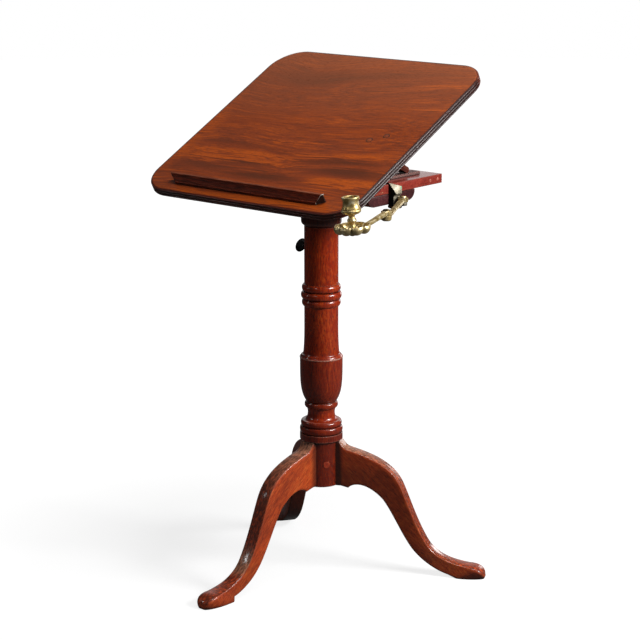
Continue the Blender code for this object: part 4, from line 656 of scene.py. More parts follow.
def leg_edges(heel_cut):
    """Upper and lower edge of a leg as (reach, height) points, matched one to one; a cut heel leaves a step."""
    top = DRUM_BOTTOM - 2 * FIT
    seat = HUB_BOTTOM + FIT
    inside = HUB_RADIUS - 0.006
    shoulder, cove_end = on_leg(0.0183, 1, top), on_leg(0.0826, 0.943, top)
    knee, ankle = on_leg(0.437, 0.6955, top), on_leg(0.613, 0.262, top)
    instep, toe = on_leg(0.9, 0.1, top), on_leg(1.008, 0.024, top)
    upper = [Vector((inside, top)), Vector(shoulder)]
    for start, first, second, end, steps in (
            (shoulder, (0.033, 0.9816), (0.0459, 0.953), cove_end, 8),
            (cove_end, (0.196, 0.9075), (0.363, 0.8613), knee, 18),
            (knee, (0.481, 0.591), (0.5376, 0.397), ankle, 14),
            (ankle, (0.664, 0.1657), (0.758, 0.1207), instep, 14),
            (instep, (0.96, 0.098), (1.004, 0.074), toe, 15)):
        upper += bezier([start, on_leg(*first, top), on_leg(*second, top), end], steps, False)
    cusp = on_leg(0.0807, 0.975, seat)
    arch_end, shin_end = on_leg(0.3174, 0.866, seat), on_leg(0.5156, 0.3115, seat)
    heel = on_leg(0.7615, 0.053 if heel_cut else 0.036, seat)
    lower = [Vector((inside, seat)), Vector(on_leg(0.0183, 1, seat))]
    lower += [lower[-1].lerp(Vector(cusp), i / 6) for i in (1, 2, 3)]
    for start, first, second, end, steps in (
            (lower[-1], (0.062, 0.983), (0.0715, 0.979), cusp, 5),
            (cusp, (0.1046, 1.031), (0.2, 1.0717), arch_end, 18),
            (arch_end, (0.391, 0.698), (0.435, 0.4985), shin_end, 14),
            (shin_end, (0.567, 0.2056), (0.6367, 0.09) if heel_cut else (0.652, 0.082), heel, 14)):
        lower += bezier([start, on_leg(*first, seat), on_leg(*second, seat), end], steps, False)
    sole = [on_leg(0.769, -0.0093, seat) if heel_cut else on_leg(0.797, 0.014, seat)]
    sole += [on_leg(reach, -0.0093, seat) for reach in (0.831, 0.89, 0.943, 0.998)]
    path = [lower[-1]] + [Vector(p) for p in sole]
    for start, end in zip(path, path[1:]):
        lower += [start + (end - start) * i / 3 for i in (1, 2, 3)]
    return upper, lower


def leg_half_width(share):
    """Half the thickness of a leg along its length: a long taper, then a pad with a round end."""
    pad_start, pad_half = 0.87, 0.0187
    stations = [(0.0, 0.0155), (0.7, 0.0142), (pad_start, pad_half)]
    for (start, narrow), (end, wide) in zip(stations, stations[1:]):
        if share <= end:
            t = (share - start) / (end - start)
            return narrow + (wide - narrow) * t * t * (3 - 2 * t)
    return pad_half * math.sqrt(1 - ((share - pad_start) / 0.146) ** 2)


def leg_rings(heel_cut):
    """Sections of a leg from hub to toe, closed by a rounded toe."""
    upper, lower = leg_edges(heel_cut)
    last = min(len(upper), len(lower)) - 1
    rings = []
    around, arris = 56, 0.13
    for i, (u, v) in enumerate(zip(upper, lower)):
        share = i / last
        half = leg_half_width(share)
        # The top rounds over towards the toe, and its crown begins at the hub
        softer = arris + 0.34 * max(0, (share - 0.72) / 0.28) ** 1.5
        crown = 0.0026 * min(1, i / 6)
        ring = []
        for j in range(around):
            angle = 2 * math.pi * (j + 0.5) / around
            rounding = softer if math.sin(angle) > 0 else arris
            across = math.copysign(abs(math.cos(angle)) ** rounding, math.cos(angle))
            rise = math.copysign(abs(math.sin(angle)) ** rounding, math.sin(angle)) * 0.5 + 0.5
            reach, height = v + (u - v) * rise
            height -= crown * across ** 2 * max(0, rise * 2 - 1)
            ring.append(Vector((reach, across * half, max(height, 0.0))))
        rings.append(ring)
    end = rings[-1]
    middle = sum(end, Vector()) / around
    middle.z = 0.0
    for turn in (30, 60):
        shrink, out = math.cos(math.radians(turn)), 0.0012 * math.sin(math.radians(turn))
        rings.append([middle + (point - middle) * shrink + Vector((out, 0, 0)) for point in end])
    return rings


def leg_marks(name, reach, facing):
    """Soil, pale and dark marks, and dullness of a point on a leg. Speckled dark polish lies on the top, paler from
    handling towards the hub, with a painted highlight at the front ankle; painted shade blackens the sides by the
    hub and darkens the right leg's sides and the back leg, and the feet grow darker towards the toe."""
    on_top = stepped([(0.1, 0.0), (0.35, 1.0)], facing.z) if abs(facing.y) < 0.6 else 0.0
    rubbed_and_lit = stepped([(0.05, 0.36), (0.1, 0.22), (0.16, 0.0)], reach)
    # Painted shade on the sides beside the hub
    joint = stepped([(HUB_RADIUS + 0.002, 0.85), (HUB_RADIUS + 0.012, 0.0)], reach)
    foot = stepped([(0.19, 0.0), (0.25, 0.2)], reach)
    shade = 0.0
    if name == "leg_front":
        # A painted highlight on the top at the front ankle
        rubbed_and_lit += stepped([(0.185, 0.0), (0.198, 0.34), (0.212, 0.34), (0.226, 0.0)], reach)
    elif name == "leg_right":
        foot *= 0.5
        # Painted shade on the right leg's sides, deeper on the lower faces
        shade = 0.32 if facing.z > 0 else 0.56
    # The back leg is painted dark with shade, darkest underneath
    elif facing.z < -0.1 and abs(facing.y) < 0.8:
        shade = 0.85
    else:
        shade = 0.52 if facing.y > 0.3 else 0.2
    wear_and_painted_light = on_top * rubbed_and_lit if on_top > 0.5 else -min(0.9, joint + shade + foot)
    dull = stepped([(0.12, 0.5), (0.14, 0.85), (0.185, 0.7), (0.205, 0.0), (0.225, 0.1), (0.25, 0.45)], reach)
    return {"soil": on_top * 0.8, "wear_and_painted_light": wear_and_painted_light, "dull": dull}


def build_legs():
    """Legs sawn from plank: flat sides, a crowned top meeting them at a crisp arris, and a rounded pad foot."""
    # The grain runs down the leg
    slope = Matrix.Rotation(math.radians(-44), 4, 'Y')
    for number, (name, angle) in enumerate(LEG_ANGLES.items()):
        home = STAND @ Matrix.Rotation(math.radians(angle), 4, 'Z')
        bm = moved(loft(leg_rings(name == "leg_front")), home)
        made = piece(f"{name}_shaped", bm, LEG_WOOD, "base", [name],
                     plank(slope, home, (number * 0.9, number * 0.31, 0.2)), 40)
        inward = home.inverted()
        marks = [leg_marks(name, (inward @ vertex.co).x, inward.to_3x3() @ vertex.normal)
                 for vertex in made.data.vertices]
        for layer in ("soil", "wear_and_painted_light", "dull"):
            paint(made, layer, [mark[layer] for mark in marks])


# Platform, bearer, rail and ratchets
def build_head():
    """Platform, the moulded bearer under it, two plugs in the platform's end and the rail for the hinges."""
    low, high = (-PLATFORM_SIDE, PLATFORM_FRONT, PLATFORM_BOTTOM), (PLATFORM_SIDE, PLATFORM_BACK, PLATFORM_TOP)
    piece("platform_planed", block(low, high, STAND), PLATFORM_WOOD, "head", ["platform"],
          plank(ALONG_X, STAND, (4, 0.2, 0.1)))
    half, ovolo, fillet = 0.06475, 0.018, 0.003
    right = arc((half - ovolo, BEARER_TOP - fillet), (ovolo, BEARER_TOP - BEARER_BOTTOM - fillet), 0, -90, 14)
    outline = [(half, BEARER_TOP)] + right + [(-y, z) for y, z in reversed(right)] + [(-half, BEARER_TOP)]
    bm = prism(outline, -PLATFORM_SIDE, PLATFORM_SIDE, "x", STAND, 0.0008)
    piece("bearer_moulded", bm, BEARER_WOOD, "head", ["bearer"], plank(ALONG_X, STAND, (5, 0.5, 0.3)),
          30)
    level = (PLATFORM_BOTTOM + PLATFORM_TOP) / 2
    for number, from_back in enumerate((0.013, 0.034), 1):
        home = STAND @ Matrix.Translation((PLATFORM_SIDE, PLATFORM_BACK - from_back, level))
        home = home @ Matrix.Rotation(math.radians(90), 4, 'Y')
        plug = [(0, -0.006), (0.0028, -0.006), (0.0028, 0.0), (0.0024, 0.0002), (0, 0.0003)]
        piece(f"platform_plug_{number}_pared", lathe(plug, 24, home), PLUG_WOOD, "head", [f"platform_plug_{number}"],
              plank(ALONG_Y, home, (number, 1, 1)))
    low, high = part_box("hinge_rail")
    piece("hinge_rail_planed", block(low, high, HERE, 0.001), DARK_WOOD, "head", ["hinge_rail"],
          plank(ALONG_X, STAND, (6, 0.1, 0.6)))


def build_ratchets(tree):
    """Ratchet strips: a row of cut teeth on a planed strip, one tooth set on a line of points."""
    tooth, depth, count = 0.011, 0.003, 12
    outline = [(0, -depth), (0, 0), (tooth * 0.84, 0), (tooth * 0.97, -depth)]
    for side in ("left", "right"):
        low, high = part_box(f"ratchet_{side}")
        half = (high.x - low.x) / 2
        shape = prism(outline, -half, half, "x", HERE)
        bmesh.ops.recalc_face_normals(shape, faces=shape.faces)
        pattern = placed("tooth pattern", as_mesh("tooth", shape))
        middle = (low.x + high.x) / 2
        places = [(Vector((middle, low.y + i * tooth, high.z)), Vector((0, 0, 1))) for i in range(count)]
        repeated(f"ratchet_{side}_teeth", tree, places, pattern, RATCHET_WOOD, "head")
        bpy.data.objects.remove(pattern)
        bm = block(low, (high.x, high.y, high.z - depth), HERE, 0.0004)
        piece(f"ratchet_{side}_strip", bm, RATCHET_WOOD, "head", [f"ratchet_{side}"],
              plank(ALONG_Y, STAND, (7, 0.3, 0.2)))


# Board, ledge and horse
def board_outline(inset, steps=16):
    """The board's outline with round corners, drawn in by the inset."""
    radius = BOARD_CORNER - inset
    points = []
    for x_sign, y_sign, start in ((1, 1, 0), (-1, 1, 90), (-1, -1, 180), (1, -1, 270)):
        x = x_sign * (BOARD_WIDTH / 2 - BOARD_CORNER)
        y = BOARD_BACK - BOARD_CORNER if y_sign > 0 else BOARD_FRONT + BOARD_CORNER
        points += arc((x, y), (radius, radius), start, start + 90, steps)
    return points


def build_board():
    """Board with a reeded edge: three half-round reeds with a sunk flat between them."""
    rings = [[(x, y, BOARD_UNDERSIDE) for x, y in board_outline(0.02)]]
    reed, sunk, steps = BOARD_THICKNESS / 3, 0.0018, 9
    for number in range(3):
        for i in range(steps + 1):
            angle = math.pi * i / steps
            inset = sunk * (1 - math.sin(angle))
            height = BOARD_UNDERSIDE + reed * (number + 0.5 - 0.33 * math.cos(angle))
            rings.append([(x, y, height) for x, y in board_outline(inset)])
    for inset in (0.0033, 0.006, 0.02):
        rings.append([(x, y, BOARD_TOP) for x, y in board_outline(inset)])
    # The grain leans a little across the board
    lean = Matrix(((1, 0, 0, 0), (-0.055, 1, 0, 0), (0, 0, 1, 0), (0, 0, 0, 1)))
    made = piece("board_reeded", moved(loft(rings), BOARD), BOARD_WOOD, "board", ["board"],
                 lean @ plank(ALONG_X, BOARD, (0, 0, 0.05)), 50)
    made.data.materials.append(EDGE_WOOD)
    # Black along the sides and the back
    places = [BOARD.inverted() @ vertex.co for vertex in made.data.vertices]
    paint(made, "wear_and_painted_light", [-0.75 if max(abs(place.x) - BOARD_WIDTH / 2, place.y - BOARD_BACK) > -0.0045 else 0.0
                         for place in places])
    flat = BOARD.to_3x3() @ Vector((0, 0, 1))
    for face in made.data.polygons:
        inward = BOARD.inverted() @ face.center
        close = min(BOARD_WIDTH / 2 - abs(inward.x), inward.y - BOARD_FRONT, BOARD_BACK - inward.y)
        if abs(face.normal.dot(flat)) < 0.9 or (close < 0.0032 and len(face.vertices) == 4):
            face.material_index = 1
    lug_x = STILE_CENTRE + STILE_WIDTH / 2 + FIT + 0.019
    for number, sign in ((1, -1), (2, 1)):
        place = (lug_x + sign * 0.0128, HORSE_LENGTH + sign * 0.0083, BOARD_TOP)
        home = BOARD @ Matrix.Translation(place)
        plug = [(0, -0.005), (0.0064, -0.005), (0.0064, 0.00005), (0.0054, 0.0001), (0.0044, 0.0001)]
        plug += [(0.0042, 0.00015), (0, 0.00015)]
        made = piece(f"board_plug_{number}_ringed", lathe(plug, 32, home), PLUG_RING_WOOD, "board",
                     [f"board_plug_{number}"], plank(ALONG_X, home, (number, 2, 2)))
        made.data.materials.append(BOARD_PLUG_WOOD)
        centre = home.translation
        for face in made.data.polygons:
            if (face.center - centre).length < 0.0043:
                face.material_index = 1


def build_ledge():
    """Ledge with a sloping front scratched with two lines, a fillet at its foot, and splayed ends, the right one
    with a pale rim of chipped wood and a painted highlight."""
    depth, height = 0.0114, 0.0162
    long_side, short_side = 0.35, 0.324
    seat = BOARD_TOP + FIT
    back = BOARD_FRONT + 0.0211 + depth
    section = [(0, 0), (0, height - 0.0004), (0.0004, height), (0.0026, height), (0.0032, height - 0.0004)]
    section += [(0.0036, height - 0.0012), (0.0052, 0.0126), (0.0049, 0.0122), (0.0056, 0.0118), (0.0086, 0.0073)]
    section += [(0.0083, 0.0069), (0.0092, 0.0064), (0.0104, 0.0046), (0.0111, 0.0042), (depth, 0.0038), (depth, 0)]
    middle = Vector((sum(s for s, _ in section), sum(z for _, z in section))) / len(section)
    rings = []
    for sign, insets in ((-1, (0.0011, 0.0)), (1, (0.0, 0.0011))):
        for inset in insets:
            ring = []
            for s, z in section:
                point = Vector((s, z))
                point += (middle - point).normalized() * inset
                half = (long_side + (short_side - long_side) * s / depth) / 2 - (0.0 if inset else 0.0007)
                ring.append((sign * half, back - point.x, seat + point.y))
            rings.append(ring)
    made = piece("ledge_moulded", moved(loft(rings), BOARD), LEDGE_WOOD, "ledge", ["ledge"],
                 plank(ALONG_X, BOARD, (8, 0.3, 0.1)), 25)
    for material in (LEDGE_TOP_WOOD, END_WOOD, CHIPPED_LIT_RIM_WOOD):
        made.data.materials.append(material)
    up = BOARD.to_3x3() @ Vector((0, 0, 1))
    inward = BOARD.inverted()
    ends_from = 0.155
    for face in made.data.polygons:
        place = inward @ face.center
        ends = [(inward @ made.data.vertices[v].co).x for v in face.vertices]
        if min(ends) > ends_from or max(ends) < -ends_from:
            # The rim of the right end is painted pale: chipped wood and a painted highlight
            rim = len(face.vertices) == 4 and place.x > 0 and (place.z > seat + 0.009 or place.z < seat + 0.004)
            face.material_index = 3 if rim else 2
        # Faces turned up at the top take the lighter copy: painted light
        elif face.normal.dot(up) > 0.6 and place.z > seat + height - 0.002:
            face.material_index = 1


def build_horse():
    """Horse of two round-ended stiles and two rails, with the lugs that carry it under the board."""
    inner = STILE_CENTRE - STILE_WIDTH / 2
    lug_width, lug_half = 0.038, 0.017
    rail_half, rail_rise = 0.008, 0.0049
    for side, sign in (("left", -1), ("right", 1)):
        outline = arc((HORSE_LENGTH, 0), (HORSE_HALF, HORSE_HALF), -90, 90, 14)
        outline += arc((0, 0), (HORSE_HALF, HORSE_HALF), 90, 270, 14)
        start, stop = sorted((sign * inner, sign * (inner + STILE_WIDTH)))
        bm = prism(outline, start, stop, "x", HORSE, 0.0008)
        piece(f"horse_stile_{side}_rounded", bm, HORSE_WOOD, "horse", [f"horse_stile_{side}"],
              plank(ALONG_Y, HORSE, (9 + sign, 0.2, 0.1)), 30)
        lug_start = inner + STILE_WIDTH + FIT
        start, stop = sorted((sign * lug_start, sign * (lug_start + lug_width)))
        bm = block((start, HORSE_LENGTH - lug_half, -HORSE_HALF), (stop, HORSE_LENGTH + lug_half, HORSE_HALF), BOARD)
        piece(f"horse_lug_{side}_planed", bm, DARK_WOOD, "board", [f"horse_lug_{side}"],
              plank(ALONG_X, BOARD, (12 + sign, 0.1, 0.4)))
    end = inner - FIT
    for name, place in (("upper", 0.026), ("lower", 0.086)):
        bm = block((-end, place - rail_half, -rail_rise), (end, place + rail_half, rail_rise), HORSE, 0.001)
        piece(f"horse_rail_{name}_planed", bm, HORSE_WOOD, "horse", [f"horse_rail_{name}"],
              plank(ALONG_X, HORSE, (15 + place * 9, 0.1, 0.4)))


# Candle arm
def link_shape(length, drop, far_eye):
    """A cast link: turned eyes joined by a bar with a chamfered section that thins a little towards its middle."""
    shapes = []
    for x, level, tall in ((0, 0, EYE_HEIGHT), (length, EYE_HEIGHT - far_eye - drop, far_eye)):
        eye = [(0, level), (EYE_RADIUS - 0.0006, level), (EYE_RADIUS, level + 0.0006)]
        eye += [(EYE_RADIUS, level + tall - 0.0008), (EYE_RADIUS - 0.0008, level + tall), (0, level + tall)]
        shapes.append(lathe(eye, 40, Matrix.Translation((x, 0, 0))))
    rings = []
    for i in range(13):
        t = i / 12
        x = EYE_RADIUS * 0.6 + (length - EYE_RADIUS * 1.2) * t
        waist = 1 - 0.1 * math.sin(math.pi * t) ** 2
        half, tall = 0.0051 * waist, 0.0033 * waist
        level = -drop * t + EYE_HEIGHT / 2
        cut = 0.0012
        ring = [(half - cut, -tall), (half, -tall + cut), (half, tall - cut), (half - cut, tall)]
        ring += [(-y, z) for y, z in reversed(ring)]
        rings.append([(x, y, level + z) for y, z in ring])
    shapes.append(loft(rings))
    return joined(*shapes)


def pin_shape(bottom, head_low, top):
    """A pin with a filed round head."""
    return [(0, bottom), (0.003, bottom), (0.003, head_low), (0.006, head_low), (0.006, head_low + 0.0008),
            (0.0052, top - 0.0004), (0.0035, top), (0, top + 0.0001)]


def pan_shape():
    """Lobed pan of cast sheet: eight petals that swell outwards and hang below the floor, with sharp creases
    between."""
    around, lobes = 192, 8
    lift, sheet = 0.0015, 0.0012
    full = smooth_profile([(0.004, 0), (0.0105, 0), (0.0155, -0.0026), (0.0208, -0.0046), (0.0254, -0.0036),
                           (0.0288, 0.0), (0.0297, 0.0038), (0.0282, 0.0072)])
    crease = smooth_profile([(0.004, 0), (0.0105, 0), (0.0145, 0.0003), (0.0178, 0.0012), (0.0205, 0.0025),
                             (0.0222, 0.0042), (0.0232, 0.0058), (0.0236, 0.0072)])
    rings = []
    for (far, low), (near, high) in zip(full, crease):
        ring = []
        for i in range(around):
            angle = 2 * math.pi * i / around
            across = (angle * lobes / (2 * math.pi) + 0.5) % 1.0 * 2 - 1
            swell = math.sqrt(max(0.0, 1 - across * across)) ** 0.9
            radius = near + (far - near) * swell
            ring.append((radius * math.cos(angle), radius * math.sin(angle), high + (low - high) * swell + lift))
        rings.append(ring)
    bm = loft(rings, False)
    bmesh.ops.recalc_face_normals(bm, faces=bm.faces)
    if sum(face.normal.z for face in bm.faces) < 0:
        bmesh.ops.reverse_faces(bm, faces=bm.faces)
    bmesh.ops.solidify(bm, geom=bm.faces[:], thickness=sheet)
    return bm


def build_bracket():
    """Bracket on the platform's end, its turned foot and the pin of the arm's root."""
    face = PLATFORM_SIDE + FIT
    lip, lip_bottom = PLATFORM_SIDE - 0.005, PLATFORM_TOP + FIT
    lip_top = lip_bottom + 0.0024
    bottom = BEARER_BOTTOM - 0.0015
    plate, nose = face + 0.0085, PLATFORM_SIDE + 0.0135
    nose_bottom = lip_top - 0.0205
    nose_low = nose_bottom + nose - plate - 0.003
    plain = [(face, bottom), (plate, bottom), (plate, nose_low - 0.0047), (nose, nose_low)]
    near = plain + [(face + 0.0095, nose_low + 0.0058), (face + 0.0048, nose_low + 0.0122), (face + 0.0006, lip_top)]
    near += [(lip, lip_top), (lip, lip_bottom), (face, lip_bottom)]
    # The sloping face winds: at its far end the block stands upright to within 7 mm of the lip
    far_top = lip_top - 0.0067
    far = plain + [(nose - 0.0003, nose_low + 0.004), (nose - 0.0007, nose_low + 0.008), (nose - 0.0012, far_top)]
    far += [(face + 0.002, far_top + 0.0004), (face + 0.001, far_top), (face, far_top - 0.0006)]
    near_ring = [(x, -0.009 + 0.005 * min(1, max(0, (x - face) / (nose - face))), z) for x, z in near]
    shape = moved(eased(loft([near_ring, [(x, 0.0118, z) for x, z in far]]), 0.0005), STAND)
    root = (PLATFORM_SIDE + 0.0185, 0.008)
    shelf = arc(root, (0.0072, 0.0072), -90, 90, 18) + [(plate - 0.00425, 0.0152), (plate - 0.00425, 0.0008)]
    shape = joined(shape, prism(shelf, bottom, bottom + 0.0061, "z", STAND, 0.0006))
    made = piece("candle_bracket_cast", shape, BRACKET_BRASS, "head", ["candle_bracket"], smooth=30)
    made.data.materials.append(SHADE_PAINTED_BRASS)
    # Faces turned to the front take black brass: painted shade
    for side in made.data.polygons:
        if side.normal.y < -0.7:
            side.material_index = 1
    low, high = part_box("bracket_foot")
    home = Matrix.Translation(((low.x + high.x) / 2, (low.y + high.y) / 2, 0))
    top = bottom - FIT
    disc = [(0, top - 0.0045), (0.0112, top - 0.0045), (0.0122, top - 0.0036), (0.0122, top - 0.0009)]
    disc += [(0.0113, top), (0.003, top), (0.003, top + 0.005), (0, top + 0.005)]
    piece("bracket_foot_turned", lathe(disc, 48, home), TARNISHED_BRASS, "head", ["bracket_foot"])
    low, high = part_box("arm_root_pin")
    pin = pin_shape(low.z, high.z - PIN_HEAD, high.z)
    piece("arm_root_pin_filed", lathe(pin, 32, STAND @ Matrix.Translation((*root, 0))), BRASS, "head",
          ["arm_root_pin"])


def build_links():
    """The two links of the candle arm and the pin of the elbow."""
    bm = moved(link_shape(ROOT_LENGTH, ROOT_DROP, EYE_HEIGHT), ARM_ROOT)
    piece("arm_link_root_cast", bm, BRASS, "arm_root", ["arm_link_root"], smooth=30)
    bm = moved(link_shape(OUTER_LENGTH, OUTER_DROP, 0.0058), ARM_OUTER)
    piece("arm_link_outer_cast", bm, BRASS, "arm_outer", ["arm_link_outer"], smooth=30)
    low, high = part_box("arm_elbow_pin")
    elbow = Vector(joints["arm_elbow_swing"]["pos_m"])
    home = Matrix.Translation((elbow.x, elbow.y, 0))
    washer = [(0, low.z - 0.0014), (0.0064, low.z - 0.0014), (0.007, low.z - 0.0009), (0.007, low.z)]
    pin = washer + pin_shape(low.z, high.z - PIN_HEAD, high.z)[1:]
    piece("arm_elbow_pin_filed", lathe(pin, 32, home), TARNISHED_BRASS, "arm_root", ["arm_elbow_pin"])


def build_candle_holder():
    """Drip pan, turned candle socket and the rivet that holds them to the arm."""
    piece("drip_pan_lobed", moved(pan_shape(), PAN), PAN_BRASS, "arm_outer", ["drip_pan"], smooth=60)
    base, height = 2 * FIT + 0.0016, 0.0532
    # Radius, and share of the height
    stem = [(0.0086, 0.0), (0.0078, 0.03), (0.0056, 0.07), (0.004, 0.14), (0.0042, 0.19), (0.0068, 0.235)]
    stem += [(0.0076, 0.275), (0.0068, 0.32), (0.0053, 0.365), (0.0052, 0.41), (0.0068, 0.45), (0.0124, 0.487)]
    stem += [(0.0154, 0.53), (0.0163, 0.57), (0.0159, 0.605), (0.0149, 0.625)]
    cup = [(0.0149, 0.63), (0.0154, 0.645), (0.0153, 0.66), (0.0144, 0.69), (0.0134, 0.74), (0.0129, 0.81)]
    cup += [(0.013, 0.88)]
    outside = smooth_profile(stem) + smooth_profile(cup)
    outside += [(0.0133, 0.9), (0.0142, 0.925), (0.0146, 0.94), (0.0146, 0.975), (0.0142, 0.995), (0.0134, 1.0)]
    profile = [(0, base)] + [(radius, base + level * height) for radius, level in outside]
    rim, bore, bore_depth = base + height, 0.0105, 0.022
    profile += [(0.0112, rim), (bore, rim - 0.0008), (bore, rim - bore_depth), (0, rim - bore_depth)]
    piece("candle_socket_turned", lathe(profile, 96, PAN), BRASS, "arm_outer", ["candle_socket"])
    end = -(EYE_HEIGHT + 2 * lean_rise) - FIT
    rivet = [(0, end + 0.0003), (0.0022, end + 0.0005), (0.0042, end + 0.0012), (0.0042, end + 0.002)]
    rivet += [(0.0022, end + 0.0021), (0.0022, base + 0.004), (0, base + 0.004)]
    piece("pan_rivet_domed", lathe(rivet, 32, PAN), TARNISHED_BRASS, "arm_outer", ["pan_rivet"])


# Thumbscrew
def build_thumbscrew():
    """Forged thumbscrew: a threaded shank, a shouldered neck and an oval thumb-piece with a rolled rim."""
    level = joints["thumbscrew_turn"]["pos_m"][2]
    home = STAND @ Matrix.Translation((0, 0, level)) @ Matrix.Rotation(math.radians(90), 4, 'Y')
    shoe, length = 0.0038, 0.0145
    tip = -POLE_RADIUS - FIT - shoe - FIT
    head = tip - length
    shank = [(0, tip), (0.003, tip)]
    # Nine turns of thread, four points to a turn
    steps = 9 * 4
    for i in range(steps + 1):
        shank.append((0.00335 + 0.00018 * math.cos(i * math.pi / 2), tip - 0.0006 - 0.010 * i / steps))
    shank += [(0.0035, head + 0.0022), (0.0052, head + 0.0018), (0.0052, head - 0.0012), (0.004, head - 0.0025)]
    shank += [(0.0025, head - 0.004), (0, head - 0.0045)]
    screw = lathe(shank, 32, home)
    long, tall, around = 0.011, 0.013, 56
    middle = head - long + 0.00175
    # Share of the oval, and half the thickness there
    swells = ((0.02, 0.001), (0.55, 0.001), (0.78, 0.0011), (0.88, 0.0017), (0.96, 0.0016), (1.0, 0.0007))
    angles = [2 * math.pi * i / around for i in range(around)]
    rings = []
    for share, half in swells:
        rings.append([(middle + long * share * math.cos(a), half, tall * share * math.sin(a)) for a in angles])
    rings += [[(x, -y, z) for x, y, z in ring] for ring in reversed(rings)]
    turn = Matrix.Translation((0, 0, level)) @ Matrix.Rotation(math.radians(-32), 4, 'X')
    plate = moved(loft(rings), STAND @ turn)
    piece("thumbscrew_forged", joined(screw, plate), IRON, "thumbscrew", ["thumbscrew"])
    bush = [(0.0038, -0.0288), (0.0062, -0.0288), (0.0064, -0.0305), (0.006, -0.0318), (0.0048, -0.0322),
            (0.0038, -0.032)]
    piece("screw_bush_turned", lathe(bush, 40, home), BRASS, "base", ["screw_bush"])


def build_screws(tree):
    """Slotted screws under the hub, under the bearer, in the bracket and in the hinge leaves."""
    large = screw_head(0.0045)
    down = Vector((0, 0, -1))
    out, level = 0.037, HUB_BOTTOM - FIT - 0.002
    turns = [math.radians(angle) for angle in LEG_ANGLES.values()]
    places = [(AXIS + Vector((out * math.cos(turn), out * math.sin(turn), level)), down) for turn in turns]
    repeated("spider_screws_slotted", tree, places, large, IRON, "base", [f"spider_screw_{i}" for i in (1, 2, 3)],
             3.0, 3)
    level = BEARER_BOTTOM + FIT - 0.0002
    places = [(AXIS + Vector((x, y, level)), down) for x in (-0.11, 0.11) for y in (-0.03, 0.03)]
    repeated("bearer_screws_slotted", tree, places, large, IRON, "head",
             [f"bearer_screw_{i}" for i in (1, 2, 3, 4)], 3.0, 5)
    place = AXIS + Vector((PLATFORM_SIDE + FIT + 0.0085, 0.0095, (BEARER_BOTTOM + BEARER_TOP) / 2))
    repeated("bracket_screw_slotted", tree, [(place, Vector((1, 0, 0)))], large, BRASS, "head",
             ["bracket_screw"], 3.0, 8)
    bpy.data.objects.remove(large)
    small = screw_head(0.0026)
    outward = (BOARD.to_3x3() @ down).normalized()
    under = BOARD_UNDERSIDE - FIT - 0.0018
    across = [hinge + x for hinge in (-0.095, 0.095) for x in (-0.015, 0, 0.015)]
    places = [(BOARD @ Vector((x, -0.0165, under)), outward) for x in across]
    repeated("hinge_screws_slotted", tree, places, small, BRASS, "board", (), 3.0, 11)
    bpy.data.objects.remove(small)


build_column()
build_legs()
build_head()
set_on_points = repeat_tree()
build_ratchets(set_on_points)
build_board()
build_ledge()
build_horse()
build_bracket()
build_links()
build_candle_holder()
build_thumbscrew()
build_screws(set_on_points)
# Solids that stay as they are: hinges, pins, pegs, the plate under the hub and the clamp shoe
for kept in sorted(frame["nodes"]):
    finish = None
    if kept.startswith("hinge_") and kept != "hinge_rail":
        finish = BRASS
    elif kept.startswith(("horse_pin", "spider_plate", "ledge_peg", "clamp_shoe")):
        finish = IRON
    if finish:
        for slot in frame["nodes"][kept].material_slots:
            slot.material = finish


def build_camera():
    """Camera at the photograph's place: a long lens, a little above the stand and to its right."""
    data = bpy.data.cameras.new("camera")
    data.lens, data.sensor_width = 111.458, 36.0
    camera = placed("camera", data)
    back, distance = Vector((0.63008, -0.74035, 0.23429)).normalized(), 3.566646
    target = AXIS + Vector((-0.001796, -0.001528, 0.465498))
    camera.location = target + back * distance
    camera.rotation_euler = (-back).to_track_quat('-Z', 'Y').to_euler()
    bpy.context.scene.camera = camera


def build_floor():
    """Pale paper floor, white to the eye, that keeps the stand's shadow and throws little light back up."""
    bm = bmesh.new()
    bmesh.ops.create_circle(bm, cap_ends=True, segments=96, radius=9.0)
    floor = placed("floor", as_mesh("floor", bm))
    material, tree, shader = new_finish("white paper floor")
    tree.nodes.remove(shader)
    path = node(tree, "ShaderNodeLightPath").outputs
    seen = node(tree, "ShaderNodeMath", {0: path["Is Camera Ray"], 1: path["Is Transmission Ray"]},
                operation='MAXIMUM')
    place = node(tree, "ShaderNodeTexCoord").outputs["Object"]
    away = node(tree, "ShaderNodeVectorMath", {0: place}, operation='LENGTH').outputs["Value"]
    # The paper brightens away from the stand, as the light on it falls off
    strength = node(tree, "ShaderNodeMapRange", {0: away, 1: 0.5, 2: 1.6, 3: 1.16, 4: 1.5}).outputs[0]
    glow = node(tree, "ShaderNodeEmission", {"Strength": strength})
    paper = node(tree, "ShaderNodeBsdfDiffuse", {"Color": (0.8, 0.8, 0.8, 1)})
    bright = node(tree, "ShaderNodeMixShader", {0: 0.7, 1: paper.outputs[0], 2: glow.outputs[0]})
    level = node(tree, "ShaderNodeMapRange", {0: path["Is Glossy Ray"], 3: 0.09, 4: 0.1}).outputs[0]
    dim = node(tree, "ShaderNodeBsdfDiffuse", {"Color": level})
    mixed = node(tree, "ShaderNodeMixShader", {0: seen.outputs[0], 1: dim.outputs[0], 2: bright.outputs[0]})
    tree.links.new(mixed.outputs[0], tree.nodes["Material Output"].inputs[0])
    floor.data.materials.append(material)


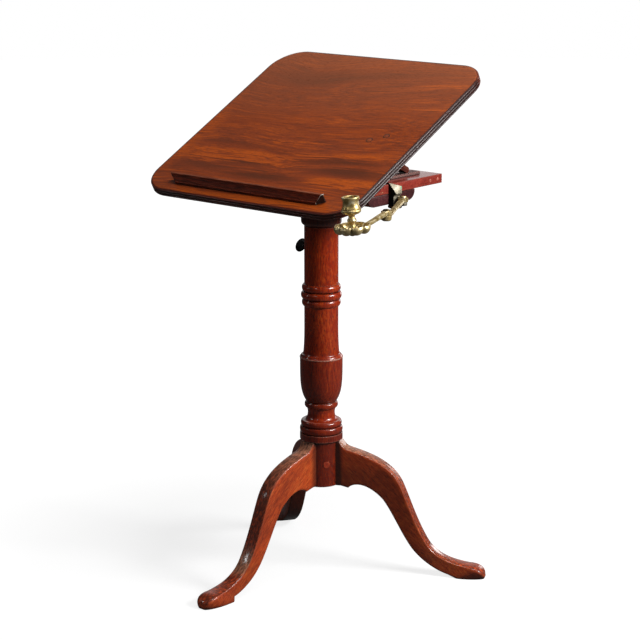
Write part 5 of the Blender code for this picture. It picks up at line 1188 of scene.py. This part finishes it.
def build_light():
    """A wide key from the right, a large soft light overhead, three weak fills, and a dim room with a pale
    backdrop."""
    # Name, degrees round and up, distance, size and power
    lamps = (("key", 108, 28, 2.4, (1.0, 0.6), 72), ("overhead", 80, 72, 2.6, (1.2, 1.2), 41),
             ("fill", 6, 30, 2.6, (0.22, 0.22), 3.0), ("left", -45, 17, 2.6, (0.17, 0.36), 3.3),
             ("back", 188, 1, 2.6, (0.45, 0.75), 5.0))
    for name, azimuth, elevation, distance, size, power in lamps:
        data = bpy.data.lights.new(name, 'AREA')
        data.shape = 'RECTANGLE'
        data.size, data.size_y, data.energy = *size, power
        lamp = placed(name, data)
        a, e = math.radians(azimuth), math.radians(elevation)
        towards = Vector((math.sin(a) * math.cos(e), -math.cos(a) * math.cos(e), math.sin(e)))
        lamp.location = AXIS + Vector((0, 0, 0.5)) + towards * distance
        lamp.rotation_euler = (-towards).to_track_quat('-Z', 'Y').to_euler()
    world = bpy.data.worlds.new("studio")
    bpy.context.scene.world = world
    world.use_nodes = True
    tree = world.node_tree
    shade = tree.nodes["Background"]
    path = node(tree, "ShaderNodeLightPath").outputs
    seen = node(tree, "ShaderNodeMath", {0: path["Is Camera Ray"], 1: path["Is Transmission Ray"]},
                operation='MAXIMUM')
    # Mirrored in the polish, the white backdrop stands behind the stand and the rest of the room is dim
    looking = node(tree, "ShaderNodeTexCoord").outputs["Generated"]
    behind = node(tree, "ShaderNodeVectorMath", {0: looking, 1: (-0.6285, 0.7386, 0.2425)},
                  operation='DOT_PRODUCT').outputs["Value"]
    paper = node(tree, "ShaderNodeMapRange", {0: behind, 1: 0.89, 2: 0.98, 3: 0.05, 4: 0.75}).outputs[0]
    mirrored = node(tree, "ShaderNodeMath", {0: paper, 1: path["Is Glossy Ray"]}, operation='MULTIPLY').outputs[0]
    white = node(tree, "ShaderNodeMath", {0: mirrored, 1: seen.outputs[0]}, operation='MAXIMUM').outputs[0]
    strength = node(tree, "ShaderNodeMath", {0: white, 1: 0.022}, operation='MAXIMUM').outputs[0]
    shade.inputs["Color"].default_value = (1, 1, 1, 1)
    tree.links.new(strength, shade.inputs["Strength"])


build_camera()
build_floor()
build_light()
bpy.context.scene.view_settings.view_transform = 'Standard'
